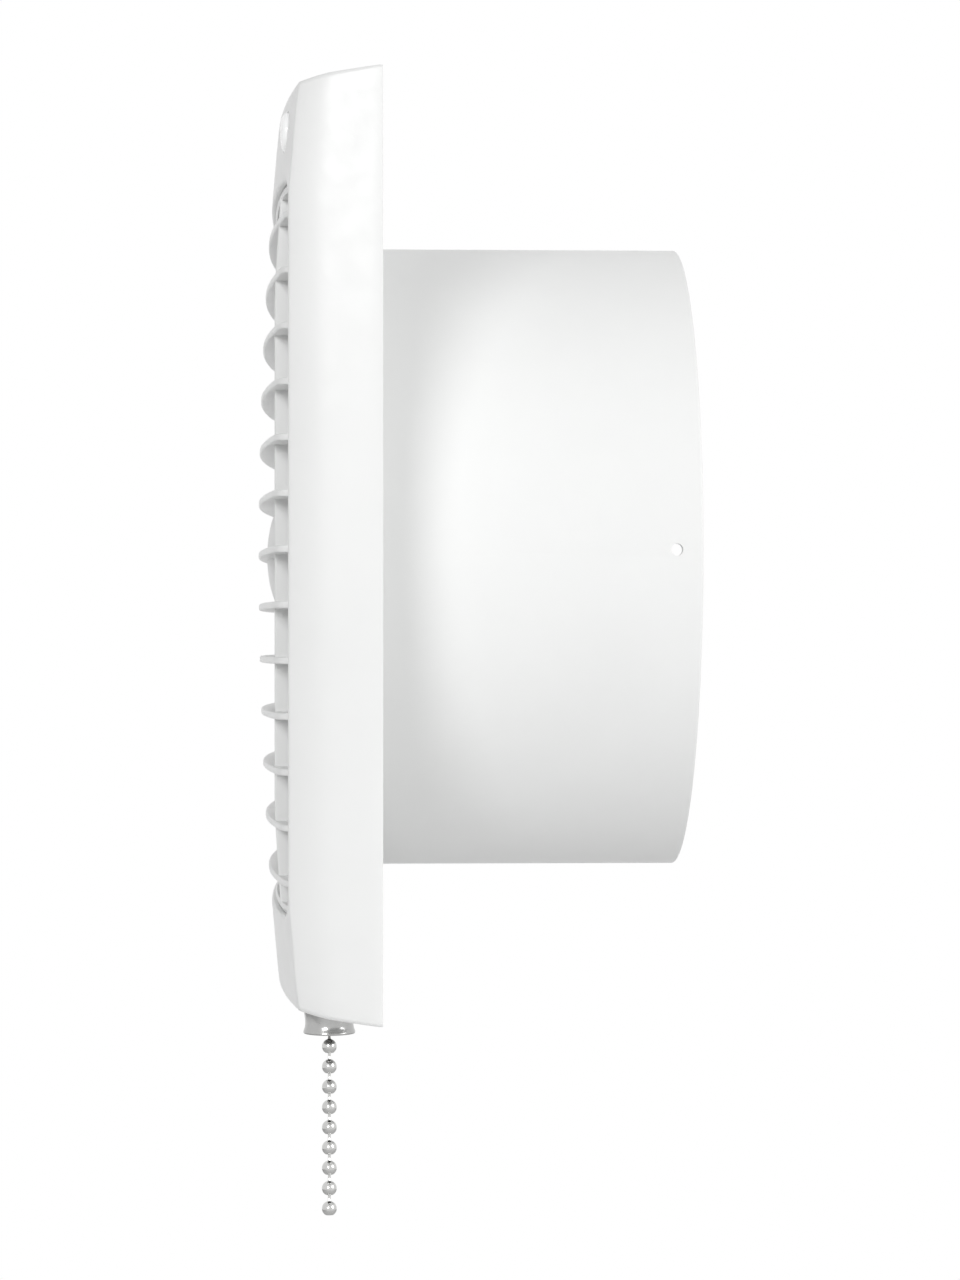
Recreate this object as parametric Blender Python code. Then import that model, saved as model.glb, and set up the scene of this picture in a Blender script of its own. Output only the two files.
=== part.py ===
# Axial exhaust fan for a 150 mm round duct, with a square domed front and a pull chain switch.
# The wall plane is y = 0. The front faces -Y, the spigot runs to +Y, and +Z is up.
# The origin is on the fan's axis. Shapes are drawn in millimetres and become metres at the end.
import math

import bmesh
import bpy
import numpy as np
from mathutils import Matrix, Vector

mm = 0.001
leadSpacing = 8.5

# Front cover
coverHalf = 102.5
coverWall = 2.2
apertureWide = 82.5
apertureHigh = 80.8
apertureCorner = 3.5
edgeInset = 4.5
edgeCorner = 3.0
bandStart = 80.0
bandEdge = 19.3
bandEdgeFall = 0.0042
bandFall = 0.0005
bandBow = 2.3
landStand = 20.05
landSpanX = (66.0, 84.0)
landSpanZ = (75.0, 86.0)
collarDepth = 3.6
coverLip = 0.6
coverShares = (0.0, 0.45, 0.78, 0.86)
coverCornerSteps = 2

# Grille
domeTop = 28.1
domeFallX = 0.0008
domeFallZ = 0.00045
slatPitch = 12.3
slatCount = 13
slatThickness = 1.5
slatEnd = 77.4
slatShoulder = 18.6
barSpacing = 58.0
barThickness = 1.8
barFront = 23.5
rimShares = (0.0, 0.5)
grilleGap = 0.3
grilleWall = 1.6
grilleBack = 16.0
grilleSunk = 1.0

# Housing, spigot and motor carrier
plateHalf = 97.5
plateThickness = 2.5
rimHeight = 9.0
rimWall = 2.0
trayShares = (0.0, 0.33, 0.66)
trayCornerSteps = 3
spigotOuter = 74.13
spigotInner = 71.2
spigotLength = 71.8
seatRadius = 72.0
seatDepth = 6.8
spigotSteps = 48
spigotHoleRadius = 1.35
spigotHoleFromRim = 5.9
pieceGap = 0.3
hubRadius = 27.0
armCount = 4
footWide = 7.5
footWall = 1.8
clampPosts = (-91.0, -79.0)
clampZ = -54.0

# Motor and impeller
shaftRadius = 1.5
screwSpacing = 19.5
rotorRadius = 12.1
coreFront = 9.0
coreBack = 23.0
impellerFront = 33.0
impellerBack = 56.0
impellerHub = 24.0
impellerTip = 69.8
bladeCount = 7

# Pull chain switch, in the lower corner at +X
chainX = 80.0
chainY = -11.2
spotFace = 6.3
ferruleTop = -100.6
ferruleBottom = -106.2
beadRadius = 1.635
beadPitch = 4.44
beadCount = 9
firstBeadZ = -109.1
socketDrop = 0.3

# Indicator lamp, in the upper corner at +X
lampX = 80.0
lampZ = 91.0
lensHole = 4.7

# Screw under the cover's lower edge
coverScrewY = -6.0

axisVectors = {"X": Vector((1, 0, 0)), "Y": Vector((0, 1, 0)), "Z": Vector((0, 0, 1))}


def clearScene():
    for old in list(bpy.data.objects):
        bpy.data.objects.remove(old, do_unlink=True)


def makeFinish(name, colour, roughness, metallic=0.0):
    finish = bpy.data.materials.new(name)
    finish.use_nodes = True
    shader = finish.node_tree.nodes["Principled BSDF"]
    shader.inputs["Base Color"].default_value = (*colour, 1.0)
    shader.inputs["Roughness"].default_value = roughness
    shader.inputs["Metallic"].default_value = metallic
    finish.diffuse_color = (*colour, 1.0)
    return finish


def along(axis, height, radius):
    # A point at a height along the axis and a radius off it.
    if axis == "X":
        return Vector((height, 0, radius))
    if axis == "Y":
        return Vector((radius, height, 0))
    return Vector((radius, 0, height))


def addTurned(bm, profile, steps, axis="Y", centre=(0, 0, 0), closed=False):
    # A profile of (radius, height) points spun round an axis. A closed profile makes a ring.
    base = Vector(centre)
    verts = [bm.verts.new(base + along(axis, height, radius)) for radius, height in profile]
    edges = [bm.edges.new(pair) for pair in zip(verts, verts[1:])]
    if closed:
        edges.append(bm.edges.new((verts[-1], verts[0])))
    bmesh.ops.spin(bm, geom=verts + edges, cent=base, axis=axisVectors[axis],
                   angle=2 * math.pi, steps=steps, use_merge=True)


def addRod(bm, radius, start, end, steps, axis="Y", centre=(0, 0, 0)):
    addTurned(bm, [(0, start), (radius, start), (radius, end), (0, end)], steps, axis, centre)


def addTube(bm, outer, inner, start, end, steps, axis="Y", centre=(0, 0, 0)):
    profile = [(outer, start), (outer, end), (inner, end), (inner, start)]
    addTurned(bm, profile, steps, axis, centre, closed=True)


def addBox(bm, low, high, turn=None):
    middle = (Vector(low) + Vector(high)) / 2
    size = Vector(high) - Vector(low)
    matrix = Matrix.Translation(middle) @ Matrix.Diagonal((*size, 1))
    if turn is not None:
        matrix = turn @ matrix
    bmesh.ops.create_cube(bm, size=1, matrix=matrix)


def addPrism(bm, outline, start, end, plane="XZ"):
    # A flat outline pushed along the axis that its plane leaves out.
    place = {
        "XZ": lambda a, b, depth: (a, depth, b),
        "XY": lambda a, b, depth: (a, b, depth),
        "YZ": lambda a, b, depth: (depth, a, b),
    }[plane]
    face = bm.faces.new([bm.verts.new(place(a, b, start)) for a, b in outline])
    pushed = bmesh.ops.extrude_face_region(bm, geom=[face])
    verts = [item for item in pushed["geom"] if isinstance(item, bmesh.types.BMVert)]
    shift = Vector(place(0, 0, end)) - Vector(place(0, 0, start))
    bmesh.ops.translate(bm, verts=verts, vec=shift)


def addLoft(bm, rings, closedRun):
    # Faces between rings of points, with the run of rings closed on itself or capped.
    rows = [[bm.verts.new(point) for point in ring] for ring in rings]
    count = len(rows[0])
    pairs = list(zip(rows, rows[1:]))
    if closedRun:
        pairs.append((rows[-1], rows[0]))
    for near, far in pairs:
        for index in range(count):
            after = (index + 1) % count
            bm.faces.new((near[index], near[after], far[after], far[index]))
    if not closedRun:
        bm.faces.new(rows[0])
        bm.faces.new(rows[-1])


def capsule(halfLength, radius, steps, centre=(0, 0)):
    # A slot outline: two half circles on a straight run along the first direction.
    points = []
    for side in (1, -1):
        for step in range(steps + 1):
            angle = math.pi * (step / steps - 0.5)
            a = side * (halfLength + radius * math.cos(angle))
            points.append((centre[0] + a, centre[1] + side * radius * math.sin(angle)))
    return points


def finishMesh(name, bm):
    bmesh.ops.remove_doubles(bm, verts=bm.verts, dist=0.0005)
    bmesh.ops.recalc_face_normals(bm, faces=bm.faces)
    bmesh.ops.scale(bm, vec=(mm, mm, mm), verts=bm.verts)
    mesh = bpy.data.meshes.new(name)
    bm.to_mesh(mesh)
    bm.free()
    return mesh


def makePart(name, bm, finish, origin=(0, 0, 0), smoothAngle=35):
    # The part's origin is given in millimetres, on its joint's axis where it moves.
    bmesh.ops.translate(bm, verts=bm.verts, vec=-Vector(origin))
    mesh = finishMesh(name, bm)
    mesh.materials.append(finish)
    mesh.shade_smooth()
    mesh.set_sharp_from_angle(angle=math.radians(smoothAngle))
    part = bpy.data.objects.new(name, mesh)
    part.location = Vector(origin) * mm
    bpy.context.scene.collection.objects.link(part)
    return part


def makeTool(name, bm):
    # A shape that only cuts or joins another one.
    tool = bpy.data.objects.new(name, finishMesh(name, bm))
    tool.display_type = "WIRE"
    tool.hide_render = True
    bpy.context.scene.collection.objects.link(tool)
    return tool


def combine(part, tool, operation):
    modifier = part.modifiers.new(tool.name, "BOOLEAN")
    modifier.operation = operation
    modifier.object = tool


def attach(child, parent):
    # The child keeps its place. None of the parents is turned or scaled.
    carried = parent
    while carried is not None:
        child.location = child.location - carried.location
        carried = carried.parent
    child.parent = parent


def makeEmpty(name, origin):
    empty = bpy.data.objects.new(name, None)
    empty.location = Vector(origin) * mm
    empty.empty_display_size = 0.01
    bpy.context.scene.collection.objects.link(empty)
    return empty


def slatStand(x, z):
    # How far the slats' crowned front stands off the wall.
    return domeTop - domeFallX * x * x - domeFallZ * z * z


def easeBetween(value, span):
    # A smooth step from 0 to 1 over a span of distance from the middle.
    share = np.clip((np.abs(value) - span[0]) / (span[1] - span[0]), 0, 1)
    return share * share * (3 - 2 * share)


def faceStand(x, z):
    # Above and below the grille the cover's face is a band, bowed across and lower towards the corners.
    # Beside the grille it eases into a level land.
    past = np.maximum(np.abs(z) - bandStart, 0)
    edge = bandEdge - bandEdgeFall * past * past
    ridge = domeTop - bandFall * z * z
    band = edge + (ridge - edge) * (1 - (np.abs(x) / (coverHalf - edgeInset)) ** bandBow)
    land = (1 - easeBetween(z, landSpanZ)) * easeBetween(x, landSpanX)
    return band + (landStand - band) * land


def squareRing(halfX, halfZ, corner, shares, cornerSteps):
    # A rectangle with round corners, as points that start at +X and go round by way of +Z.
    # The shares say where points stand on half a side, from its middle to its corner.
    quarters = []
    for turn in range(4):
        wide, high = (halfX, halfZ) if turn % 2 == 0 else (halfZ, halfX)
        quarter = [(wide, (high - corner) * share) for share in shares]
        for step in range(cornerSteps + 1):
            angle = math.pi / 2 * step / cornerSteps
            quarter.append((wide - corner + corner * math.cos(angle), high - corner + corner * math.sin(angle)))
        quarter += [((wide - corner) * share, high) for share in shares[:0:-1]]
        points = np.array(quarter)
        for _ in range(turn):
            points = np.column_stack((-points[:, 1], points[:, 0]))
        quarters.append(points)
    return np.vstack(quarters)


def roundRing(radius, count):
    angles = 2 * np.pi * np.arange(count) / count
    return radius * np.column_stack((np.cos(angles), np.sin(angles)))


def ringAt(outline, stand):
    # An outline in X and Z, standing off the wall by a number or by one number a point.
    stand = np.broadcast_to(stand, len(outline))
    return np.column_stack((outline[:, 0], -stand, outline[:, 1]))


def faceRing(outline, sunk):
    return ringAt(outline, faceStand(outline[:, 0], outline[:, 1]) - sunk)


def buildCover(finish):
    # Share of the edge's height, how far the wall leans in there, and the corner's radius.
    outerWall = [(0.0, 0.4, 1.6), (0.03, 0.0, 2.0), (0.45, 1.3, 2.2), (0.64, 2.0, 2.4), (0.80, 2.9, 2.6),
                 (0.93, 3.8, 2.8)]
    innerWall = [(0.80, 5.2, 2.0), (0.45, 3.5, 1.5), (0.0, coverWall, 1.0)]
    innerEdge = edgeInset + 1.7

    def wallRing(lean, corner):
        return squareRing(coverHalf - lean, coverHalf - lean, corner, coverShares, coverCornerSteps)

    def holeRing(grow):
        return squareRing(apertureWide + grow, apertureHigh + grow, apertureCorner + grow, coverShares,
                          coverCornerSteps)

    edge = wallRing(edgeInset, edgeCorner)
    height = faceStand(edge[:, 0], edge[:, 1])
    rings = [ringAt(wallRing(lean, corner), height * share) for share, lean, corner in outerWall]
    rings.append(faceRing(edge, 0))
    rings.append(faceRing(holeRing(coverLip), 0))
    rings.append(faceRing(holeRing(0), coverLip))
    rings.append(faceRing(holeRing(0), collarDepth))
    rings.append(faceRing(holeRing(coverWall), collarDepth))
    rings.append(faceRing(holeRing(coverWall), coverWall))
    rings.append(faceRing(wallRing(innerEdge, edgeCorner), coverWall))
    rings += [ringAt(wallRing(lean, corner), height * share) for share, lean, corner in innerWall]
    bm = bmesh.new()
    addLoft(bm, rings, closedRun=True)
    cover = makePart("front_cover", bm, finish)

    # The lens hole, the spot face and hole over the switch's neck, and the countersink under the cover.
    bm = bmesh.new()
    addRod(bm, lensHole, -30, -10, 12, "Y", (lampX, 0, lampZ))
    addTurned(bm, [(0, -112), (spotFace, -112), (spotFace, ferruleTop + pieceGap), (4.2, ferruleTop + pieceGap),
                   (4.2, -94), (0, -94)], 12, "Z", (chainX, chainY, 0))
    addTurned(bm, [(0, -106), (3.8, -106), (3.8, -101.7), (2.0, -100.1), (2.0, -97), (0, -97)], 12, "Z",
              (0, coverScrewY, 0))
    combine(cover, makeTool("cover_holes", bm), "DIFFERENCE")
    return cover


def addSlat(bm, z):
    # One level slat: its crowned front drops to a low shoulder at each end, which runs into the rim.
    reach = apertureWide - grilleGap - grilleWall / 2
    crownEnd = slatEnd - 4.0
    front = [(x, slatStand(x, z)) for x in np.linspace(0, crownEnd, 4)]
    top = front[-1][1]
    front += [(slatEnd - 1.4, top - 1.0), (slatEnd, top - 3.0), (slatEnd + 0.2, slatShoulder), (reach, slatShoulder)]
    half = [(x, -stand) for x, stand in front] + [(reach, 0.4 - grilleBack)]
    outline = half + [(-x, y) for x, y in half[:0:-1]]
    addPrism(bm, outline, z - slatThickness / 2, z + slatThickness / 2, "XY")


def addBar(bm, x):
    # An upright bar behind the slats' fronts. Near its ends it follows their crown.
    reach = apertureHigh - grilleGap - grilleWall / 2
    up = [(z, min(barFront, slatStand(x, z) - 0.4)) for z in (0, 55.0, 68.0, reach)]
    half = [(-stand, z) for z, stand in up] + [(0.9 - grilleBack, reach)]
    outline = half + [(y, -z) for y, z in half[:0:-1]]
    addPrism(bm, outline, x - barThickness / 2, x + barThickness / 2, "YZ")


def buildGrille(finish):
    def rimRing(inset):
        return squareRing(apertureWide - inset, apertureHigh - inset, apertureCorner - inset, rimShares,
                          coverCornerSteps)

    outer = rimRing(grilleGap)
    inner = rimRing(grilleGap + grilleWall)
    bm = bmesh.new()
    addLoft(bm, [ringAt(outer, grilleBack), faceRing(outer, grilleSunk), faceRing(inner, grilleSunk),
                 ringAt(inner, grilleBack)], closedRun=True)
    grille = makePart("slat_grille", bm, finish)

    bm = bmesh.new()
    for number in range(slatCount):
        addSlat(bm, slatPitch * (number - slatCount // 2))
    combine(grille, makeTool("grille_slats", bm), "UNION")

    bm = bmesh.new()
    for x in (-barSpacing, 0, barSpacing):
        addBar(bm, x)
    combine(grille, makeTool("grille_bars", bm), "UNION")

    # The boss in the middle, and the four catches that hook behind the cover's collar.
    bm = bmesh.new()
    addTurned(bm, [(0, -26.1), (5.5, -25.7), (9.5, -24.7), (12.4, -23.2), (13.2, -21.4), (13.2, -17.6),
                   (11.6, -17.6), (11.6, -19.4), (0, -19.4)], 18)
    for side in (-1, 1):
        near, far = sorted((side * (apertureWide - 1.6), side * (apertureWide + 1.7)))
        addBox(bm, (near, -16.1, -5), (far, -14.8, 5))
        near, far = sorted((side * (apertureHigh - 0.8), side * (apertureHigh + 1.7)))
        addBox(bm, (-5, -20.6, near), (5, -19.2, far))
    combine(grille, makeTool("grille_boss", bm), "UNION")
    return grille


def buildHousing(finish):
    # A square tray that screws to the wall, with a round hole for the spigot.
    def trayRing(inset, corner):
        return squareRing(plateHalf - inset, plateHalf - inset, corner, trayShares, trayCornerSteps)

    hole = roundRing(spigotOuter + pieceGap, len(trayRing(0, 4.0)))
    rings = [ringAt(trayRing(0, 4.0), 0), ringAt(trayRing(0, 4.0), rimHeight),
             ringAt(trayRing(rimWall, 2.5), rimHeight), ringAt(trayRing(rimWall, 2.5), plateThickness),
             ringAt(hole, plateThickness), ringAt(hole, 0)]
    bm = bmesh.new()
    addLoft(bm, rings, closedRun=True)
    housing = makePart("housing", bm, finish)

    # Posts for the cover's screw and for the cable clamp's screws.
    bm = bmesh.new()
    addBox(bm, (-5, -8.6, 0.5 - plateHalf), (5, -1, -88))
    for x in clampPosts:
        addRod(bm, 2.6, -6.0, -1.0, 8, "Y", (x, 0, clampZ))
    combine(housing, makeTool("housing_posts", bm), "UNION")

    # Wall slots, the cable's window, the gap for the switch, and the screw holes.
    bm = bmesh.new()
    for side in (-1, 1):
        for height in (-1, 1):
            outline = [(b, a) for a, b in capsule(2.5, 2.3, 3, (height * 20.0, side * 87.0))]
            addPrism(bm, outline, -6, 4)
    addPrism(bm, [(-93, -31), (-91, -29), (-82, -29), (-80, -31), (-80, -46), (-82, -48), (-91, -48), (-93, -46)],
             -6, 4)
    addBox(bm, (67.5, -12, -101), (92.5, -3.2, -93))
    addRod(bm, 1.5, -100, -89.5, 8, "Z", (0, coverScrewY, 0))
    for x in clampPosts:
        addRod(bm, 1.3, -8, -3.2, 8, "Y", (x, 0, clampZ))
    combine(housing, makeTool("housing_holes", bm), "DIFFERENCE")
    return housing


def buildSpigot(finish):
    # The duct spigot with its bell mouth: its shoulder rests on the tray, and a step inside seats the carrier.
    shoulder = plateThickness + pieceGap
    profile = [(seatRadius, 0.0), (73.2, 7.0), (75.8, 11.4), (79.0, 13.9), (81.8, 14.4), (81.8, 13.2), (76.2, 7.0),
               (76.2, shoulder + 2.0), (78.5, shoulder + 2.0), (78.5, shoulder), (spigotOuter, shoulder),
               (spigotOuter, -spigotLength), (spigotInner, -spigotLength), (spigotInner, -seatDepth),
               (seatRadius, -seatDepth)]
    bm = bmesh.new()
    addTurned(bm, [(radius, -stand) for radius, stand in profile], spigotSteps, closed=True)
    spigot = makePart("spigot", bm, finish)
    bm = bmesh.new()
    for side in (-1, 1):
        addRod(bm, spigotHoleRadius, side * 60, side * 85, 8, "X", (0, spigotLength - spigotHoleFromRim, 0))
    notch = Matrix.Rotation(math.radians(135), 4, "Y")
    addBox(bm, (70.0, -18, -4.6), (86, -2.6, 4.6), notch)
    combine(spigot, makeTool("spigot_holes", bm), "DIFFERENCE")
    return spigot


def buildMount(finish):
    # The motor's carrier: a cup on four arms, whose feet sit on the step inside the spigot.
    bm = bmesh.new()
    addTurned(bm, [(7.5, -1), (hubRadius, -1), (hubRadius, 7), (hubRadius - 2, 7), (hubRadius - 2, 2), (7.5, 2)],
              18, closed=True)
    mount = makePart("motor_mount", bm, finish)
    reach = seatRadius - pieceGap
    angles = [math.radians(footWide * step) for step in (-1, 0, 1)]
    foot = [(reach * math.cos(angle), reach * math.sin(angle)) for angle in angles]
    foot += [((reach - footWall) * math.cos(angle), (reach - footWall) * math.sin(angle)) for angle in angles[::-1]]
    bm = bmesh.new()
    for number in range(armCount):
        turn = Matrix.Rotation(math.radians(45 + 360 / armCount * number), 4, "Y")
        rows = []
        for radius, depth in ((hubRadius - 1.2, 6.2), (47.0, 5.4), (reach - 0.8, 6.0)):
            section = [(radius, -0.3, -1.1), (radius, -0.3, 1.1), (radius, depth, 1.6), (radius, depth, -1.6)]
            rows.append([turn @ Vector(point) for point in section])
        addLoft(bm, rows, closedRun=False)
    combine(mount, makeTool("mount_arms", bm), "UNION")
    bm = bmesh.new()
    for number in range(armCount):
        turn = Matrix.Rotation(math.radians(45 + 360 / armCount * number), 4, "Y")
        rows = [[turn @ Vector((x, y, z)) for x, z in foot] for y in (-0.5, seatDepth - pieceGap)]
        addLoft(bm, rows, closedRun=False)
    combine(mount, makeTool("mount_feet", bm), "UNION")
    bm = bmesh.new()
    for side in (-1, 1):
        addRod(bm, 2.0, -8, 8, 8, "Y", (side * screwSpacing, 0, 0))
    combine(mount, makeTool("mount_holes", bm), "DIFFERENCE")
    return mount


def buildBracket(name, finish, screwFace, plateFace, bossEnd, bossStart):
    # A bearing bracket: a narrow plate, a screw post at each end, and a boss for the bush.
    direction = 1 if plateFace > screwFace else -1
    plateBack = plateFace + direction * 2.2
    bm = bmesh.new()
    addPrism(bm, capsule(screwSpacing, 5.0, 5), min(plateFace, plateBack), max(plateFace, plateBack))
    bracket = makePart(name, bm, finish)
    bm = bmesh.new()
    addRod(bm, 6.5, bossStart, bossEnd, 12)
    for side in (-1, 1):
        addRod(bm, 4.2, screwFace, plateFace + direction * 1.0, 8, "Y", (side * screwSpacing, 0, 0))
    combine(bracket, makeTool(name + "_posts", bm), "UNION")
    bm = bmesh.new()
    addRod(bm, 4.3, -20, 60, 12)
    for side in (-1, 1):
        addRod(bm, 2.0, -20, 60, 8, "Y", (side * screwSpacing, 0, 0))
    combine(bracket, makeTool(name + "_holes", bm), "DIFFERENCE")
    return bracket


def buildMotor(steel, zinc, bronze, copper, aluminium, bobbinFinish, brass):
    # Shaded pole motor: a stack with a rotor bore above and a coil round the leg below.
    parts = {}
    bm = bmesh.new()
    addPrism(bm, [(-26, -48), (26, -48), (26, 10), (16, 19), (-16, 19), (-26, 10)], coreFront, coreBack)
    core = makePart("stator_core", bm, steel)
    bm = bmesh.new()
    addRod(bm, rotorRadius + 0.5, 0, 40, 28)
    addBox(bm, (-14, 0, -36), (14, 40, -20))
    for side in (-1, 1):
        addRod(bm, 2.1, 0, 40, 8, "Y", (side * screwSpacing, 0, 0))
        addBox(bm, (side * 9.6 - 0.9, 0, 10.4), (side * 9.6 + 0.9, 40, 14.6))
    combine(core, makeTool("core_holes", bm), "DIFFERENCE")
    parts["stator_core"] = core

    def legRing(x, grow):
        low = Vector((x, coreFront - grow, -48 - grow))
        high = Vector((x, coreBack + grow, -36 + grow))
        soften = min(grow * 0.5, 2.0)
        corners = [(low.y, low.z), (high.y, low.z), (high.y, high.z), (low.y, high.z)]
        inward = [(1, 1), (-1, 1), (-1, -1), (1, -1)]
        points = []
        for index, ((y, z), (a, b)) in enumerate(zip(corners, inward)):
            first, second = (y, z + b * soften), (y + a * soften, z)
            if index % 2:
                first, second = second, first
            points += [(x, *first), (x, *second)]
        return points

    bm = bmesh.new()
    steps = [(-13.5, 0.4), (-13.5, 7.0), (-12.4, 7.0), (-12.4, 1.5), (12.4, 1.5), (12.4, 7.0), (13.5, 7.0), (13.5, 0.4)]
    addLoft(bm, [legRing(x, grow) for x, grow in steps], closedRun=True)
    parts["coil_bobbin"] = makePart("coil_bobbin", bm, bobbinFinish)
    bm = bmesh.new()
    steps = [(-12.0, 1.9), (-12.0, 5.6), (-11.0, 6.6), (11.0, 6.6), (12.0, 5.6), (12.0, 1.9)]
    addLoft(bm, [legRing(x, grow) for x, grow in steps], closedRun=True)
    parts["stator_coil"] = makePart("stator_coil", bm, copper)

    parts["front_bracket"] = buildBracket("front_bracket", zinc, coreFront - 0.3, 4.5, 5.8, -3.0)
    parts["rear_bracket"] = buildBracket("rear_bracket", zinc, coreBack + 0.3, 27.0, 32.0, 25.6)
    for name, start, end in (("front_bush", -2.6, 5.4), ("rear_bush", 26.0, 31.6)):
        bm = bmesh.new()
        addTube(bm, 3.95, shaftRadius + pieceGap, start, end, 12)
        parts[name] = makePart(name, bm, bronze)

    bm = bmesh.new()
    addTurned(bm, [(rotorRadius, 9.2), (rotorRadius, 22.8), (10.4, 22.8), (10.4, 24.0), (7.6, 24.0), (7.6, 22.8),
                   (1.8, 22.8), (1.8, 9.2), (7.6, 9.2), (7.6, 8.0), (10.4, 8.0), (10.4, 9.2)], 14, closed=True)
    parts["rotor"] = makePart("rotor", bm, aluminium)
    bm = bmesh.new()
    addTurned(bm, [(0, -5.0), (1.1, -5.0), (shaftRadius, -4.5), (shaftRadius, 58.5), (1.1, 59.0), (0, 59.0)], 12)
    parts["motor_shaft"] = makePart("motor_shaft", bm, steel)

    for number, side in ((1, -1), (2, 1)):
        centre = (side * screwSpacing, 0, 0)
        bm = bmesh.new()
        addTurned(bm, [(0, -3.4), (2.2, -3.4), (3.1, -2.6), (3.1, -1.3), (1.6, -1.3), (1.6, 32.6), (0, 32.6)], 8,
                  "Y", centre)
        makePart("motor_screw_%d" % number, bm, steel)
        bm = bmesh.new()
        addTube(bm, 3.3, 1.95, 29.5, 31.9, 6, "Y", centre)
        makePart("motor_nut_%d" % number, bm, brass)
    return parts


def bladeSection(radius, phase):
    # A thin cambered section wrapped on a cylinder: leading edge in front, trailing edge behind.
    share = (radius - impellerHub) / (impellerTip - impellerHub)
    chord = 31.0 + 15.0 * share
    pitch = math.radians(43.0 - 19.0 * share)
    sweep = math.radians(9.0) * share * share
    camber = 0.075 - 0.02 * share
    thickest = 2.4 - 0.8 * share
    across = np.linspace(-0.5, 0.5, 5)
    sides = []
    for sign, run in ((1, across), (-1, across[::-1])):
        hump = 1 - 4 * run ** 2
        offset = -camber * chord * hump + sign * thickest / 2 * (0.28 + 0.72 * hump)
        turned = run * chord * math.cos(pitch) - offset * math.sin(pitch)
        depth = run * chord * math.sin(pitch) + offset * math.cos(pitch)
        angle = phase - sweep + turned / radius
        middle = (impellerFront + impellerBack) / 2
        sides.append(np.column_stack((radius * np.cos(angle), middle + depth, radius * np.sin(angle))))
    return np.vstack(sides)


def buildImpeller(finish):
    front, back, hub = impellerFront, impellerBack, impellerHub
    bm = bmesh.new()
    addTurned(bm, [(hub, front), (hub, back - 5), (hub - 1.6, back - 1.6), (hub - 5, back), (1.85, back),
                   (1.85, back - 12), (5.0, back - 12), (5.0, back - 2.2), (hub - 5.6, back - 2.2),
                   (hub - 2.2, back - 5.6), (hub - 2.0, front)], 19, closed=True)
    impeller = makePart("impeller", bm, finish)
    bm = bmesh.new()
    for number in range(bladeCount):
        phase = 2 * math.pi * number / bladeCount
        radii = np.linspace(hub - 1.0, impellerTip, 4)
        addLoft(bm, [bladeSection(radius, phase) for radius in radii], closedRun=False)
    combine(impeller, makeTool("impeller_blades", bm), "UNION")
    return impeller


def buildTerminals(nylon, brass):
    # Four poles in a strip. Leads enter from the sides, and two screws hold each pole.
    poles = [-66.0, -74.0, -82.0, -90.0]
    bm = bmesh.new()
    addBox(bm, (-87, -9.4, -94), (-74, -2.8, -62))
    block = makePart("terminal_block", bm, nylon)
    bm = bmesh.new()
    for z in poles:
        addPrism(bm, [(-86.2, -8.4), (-86.2, -12.6), (-85.2, -13.6), (-75.8, -13.6), (-74.8, -12.6), (-74.8, -8.4)],
                 z - 3.1, z + 3.1, "XY")
    combine(block, makeTool("terminal_poles", bm), "UNION")
    bm = bmesh.new()
    for z in poles:
        for x in (-83.2, -77.8):
            addRod(bm, 2.0, -16, -8.0, 7, "Y", (x, 0, z))
        addRod(bm, 1.4, -90, -82, 6, "X", (0, -5.6, z))
        addRod(bm, 1.4, -79, -71, 6, "X", (0, -5.6, z))
    combine(block, makeTool("terminal_holes", bm), "DIFFERENCE")
    number = 0
    for z in poles:
        for x in (-83.2, -77.8):
            number += 1
            bm = bmesh.new()
            addRod(bm, 1.65, -12.2, -8.3, 8, "Y", (x, 0, z))
            makePart("terminal_screw_%d" % number, bm, brass)


def buildClamp(nylon, steel):
    # A small bridge that grips the supply cable, held by two screws.
    bm = bmesh.new()
    addPrism(bm, [(-94, -6.3), (-94, -8.5), (-89, -8.5), (-87, -11), (-83, -11), (-81, -8.5), (-76, -8.5),
                  (-76, -6.3), (-82, -6.3), (-84, -8.6), (-86, -8.6), (-88, -6.3)], clampZ - 4, clampZ + 4, "XY")
    clamp = makePart("cable_clamp", bm, nylon)
    bm = bmesh.new()
    for x in clampPosts:
        addRod(bm, 1.5, -12, -4, 8, "Y", (x, 0, clampZ))
    combine(clamp, makeTool("clamp_holes", bm), "DIFFERENCE")
    for number, x in enumerate(clampPosts, 1):
        bm = bmesh.new()
        addTurned(bm, [(0, -10.4), (1.6, -10.4), (2.4, -9.7), (2.4, -8.8), (1.0, -8.8), (1.0, -3.6), (0, -3.6)], 10,
                  "Y", (x, 0, clampZ))
        makePart("clamp_screw_%d" % number, bm, steel)


def buildIndicator(clear, glass, nylon):
    centre = (lampX, 0, lampZ)
    bm = bmesh.new()
    addTurned(bm, [(0, -21.9), (2.2, -21.7), (3.6, -21.1), (4.3, -20.2), (4.3, -16.4), (5.2, -16.4), (5.2, -15.2),
                   (3.0, -15.2), (3.0, -19.4), (0, -19.9)], 12, "Y", centre)
    lens = makePart("indicator_lens", bm, clear)
    bm = bmesh.new()
    addTurned(bm, [(0, -14.8), (1.3, -14.5), (2.2, -13.4), (2.4, -12.2), (2.4, -4.8), (0, -4.8)], 12, "Y", centre)
    lamp = makePart("indicator_lamp", bm, glass)
    bm = bmesh.new()
    addTurned(bm, [(0, -2.8), (4.2, -2.8), (4.2, -9.5), (2.9, -9.5), (2.9, -4.4), (0, -4.4)], 12, "Y", centre)
    holder = makePart("lamp_holder", bm, nylon)
    bm = bmesh.new()
    addRod(bm, 1.2, lampZ - 6, lampZ - 2.6, 8, "Z", (lampX, -6.2, 0))
    combine(holder, makeTool("holder_hole", bm), "DIFFERENCE")
    return lens, lamp, holder


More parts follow.
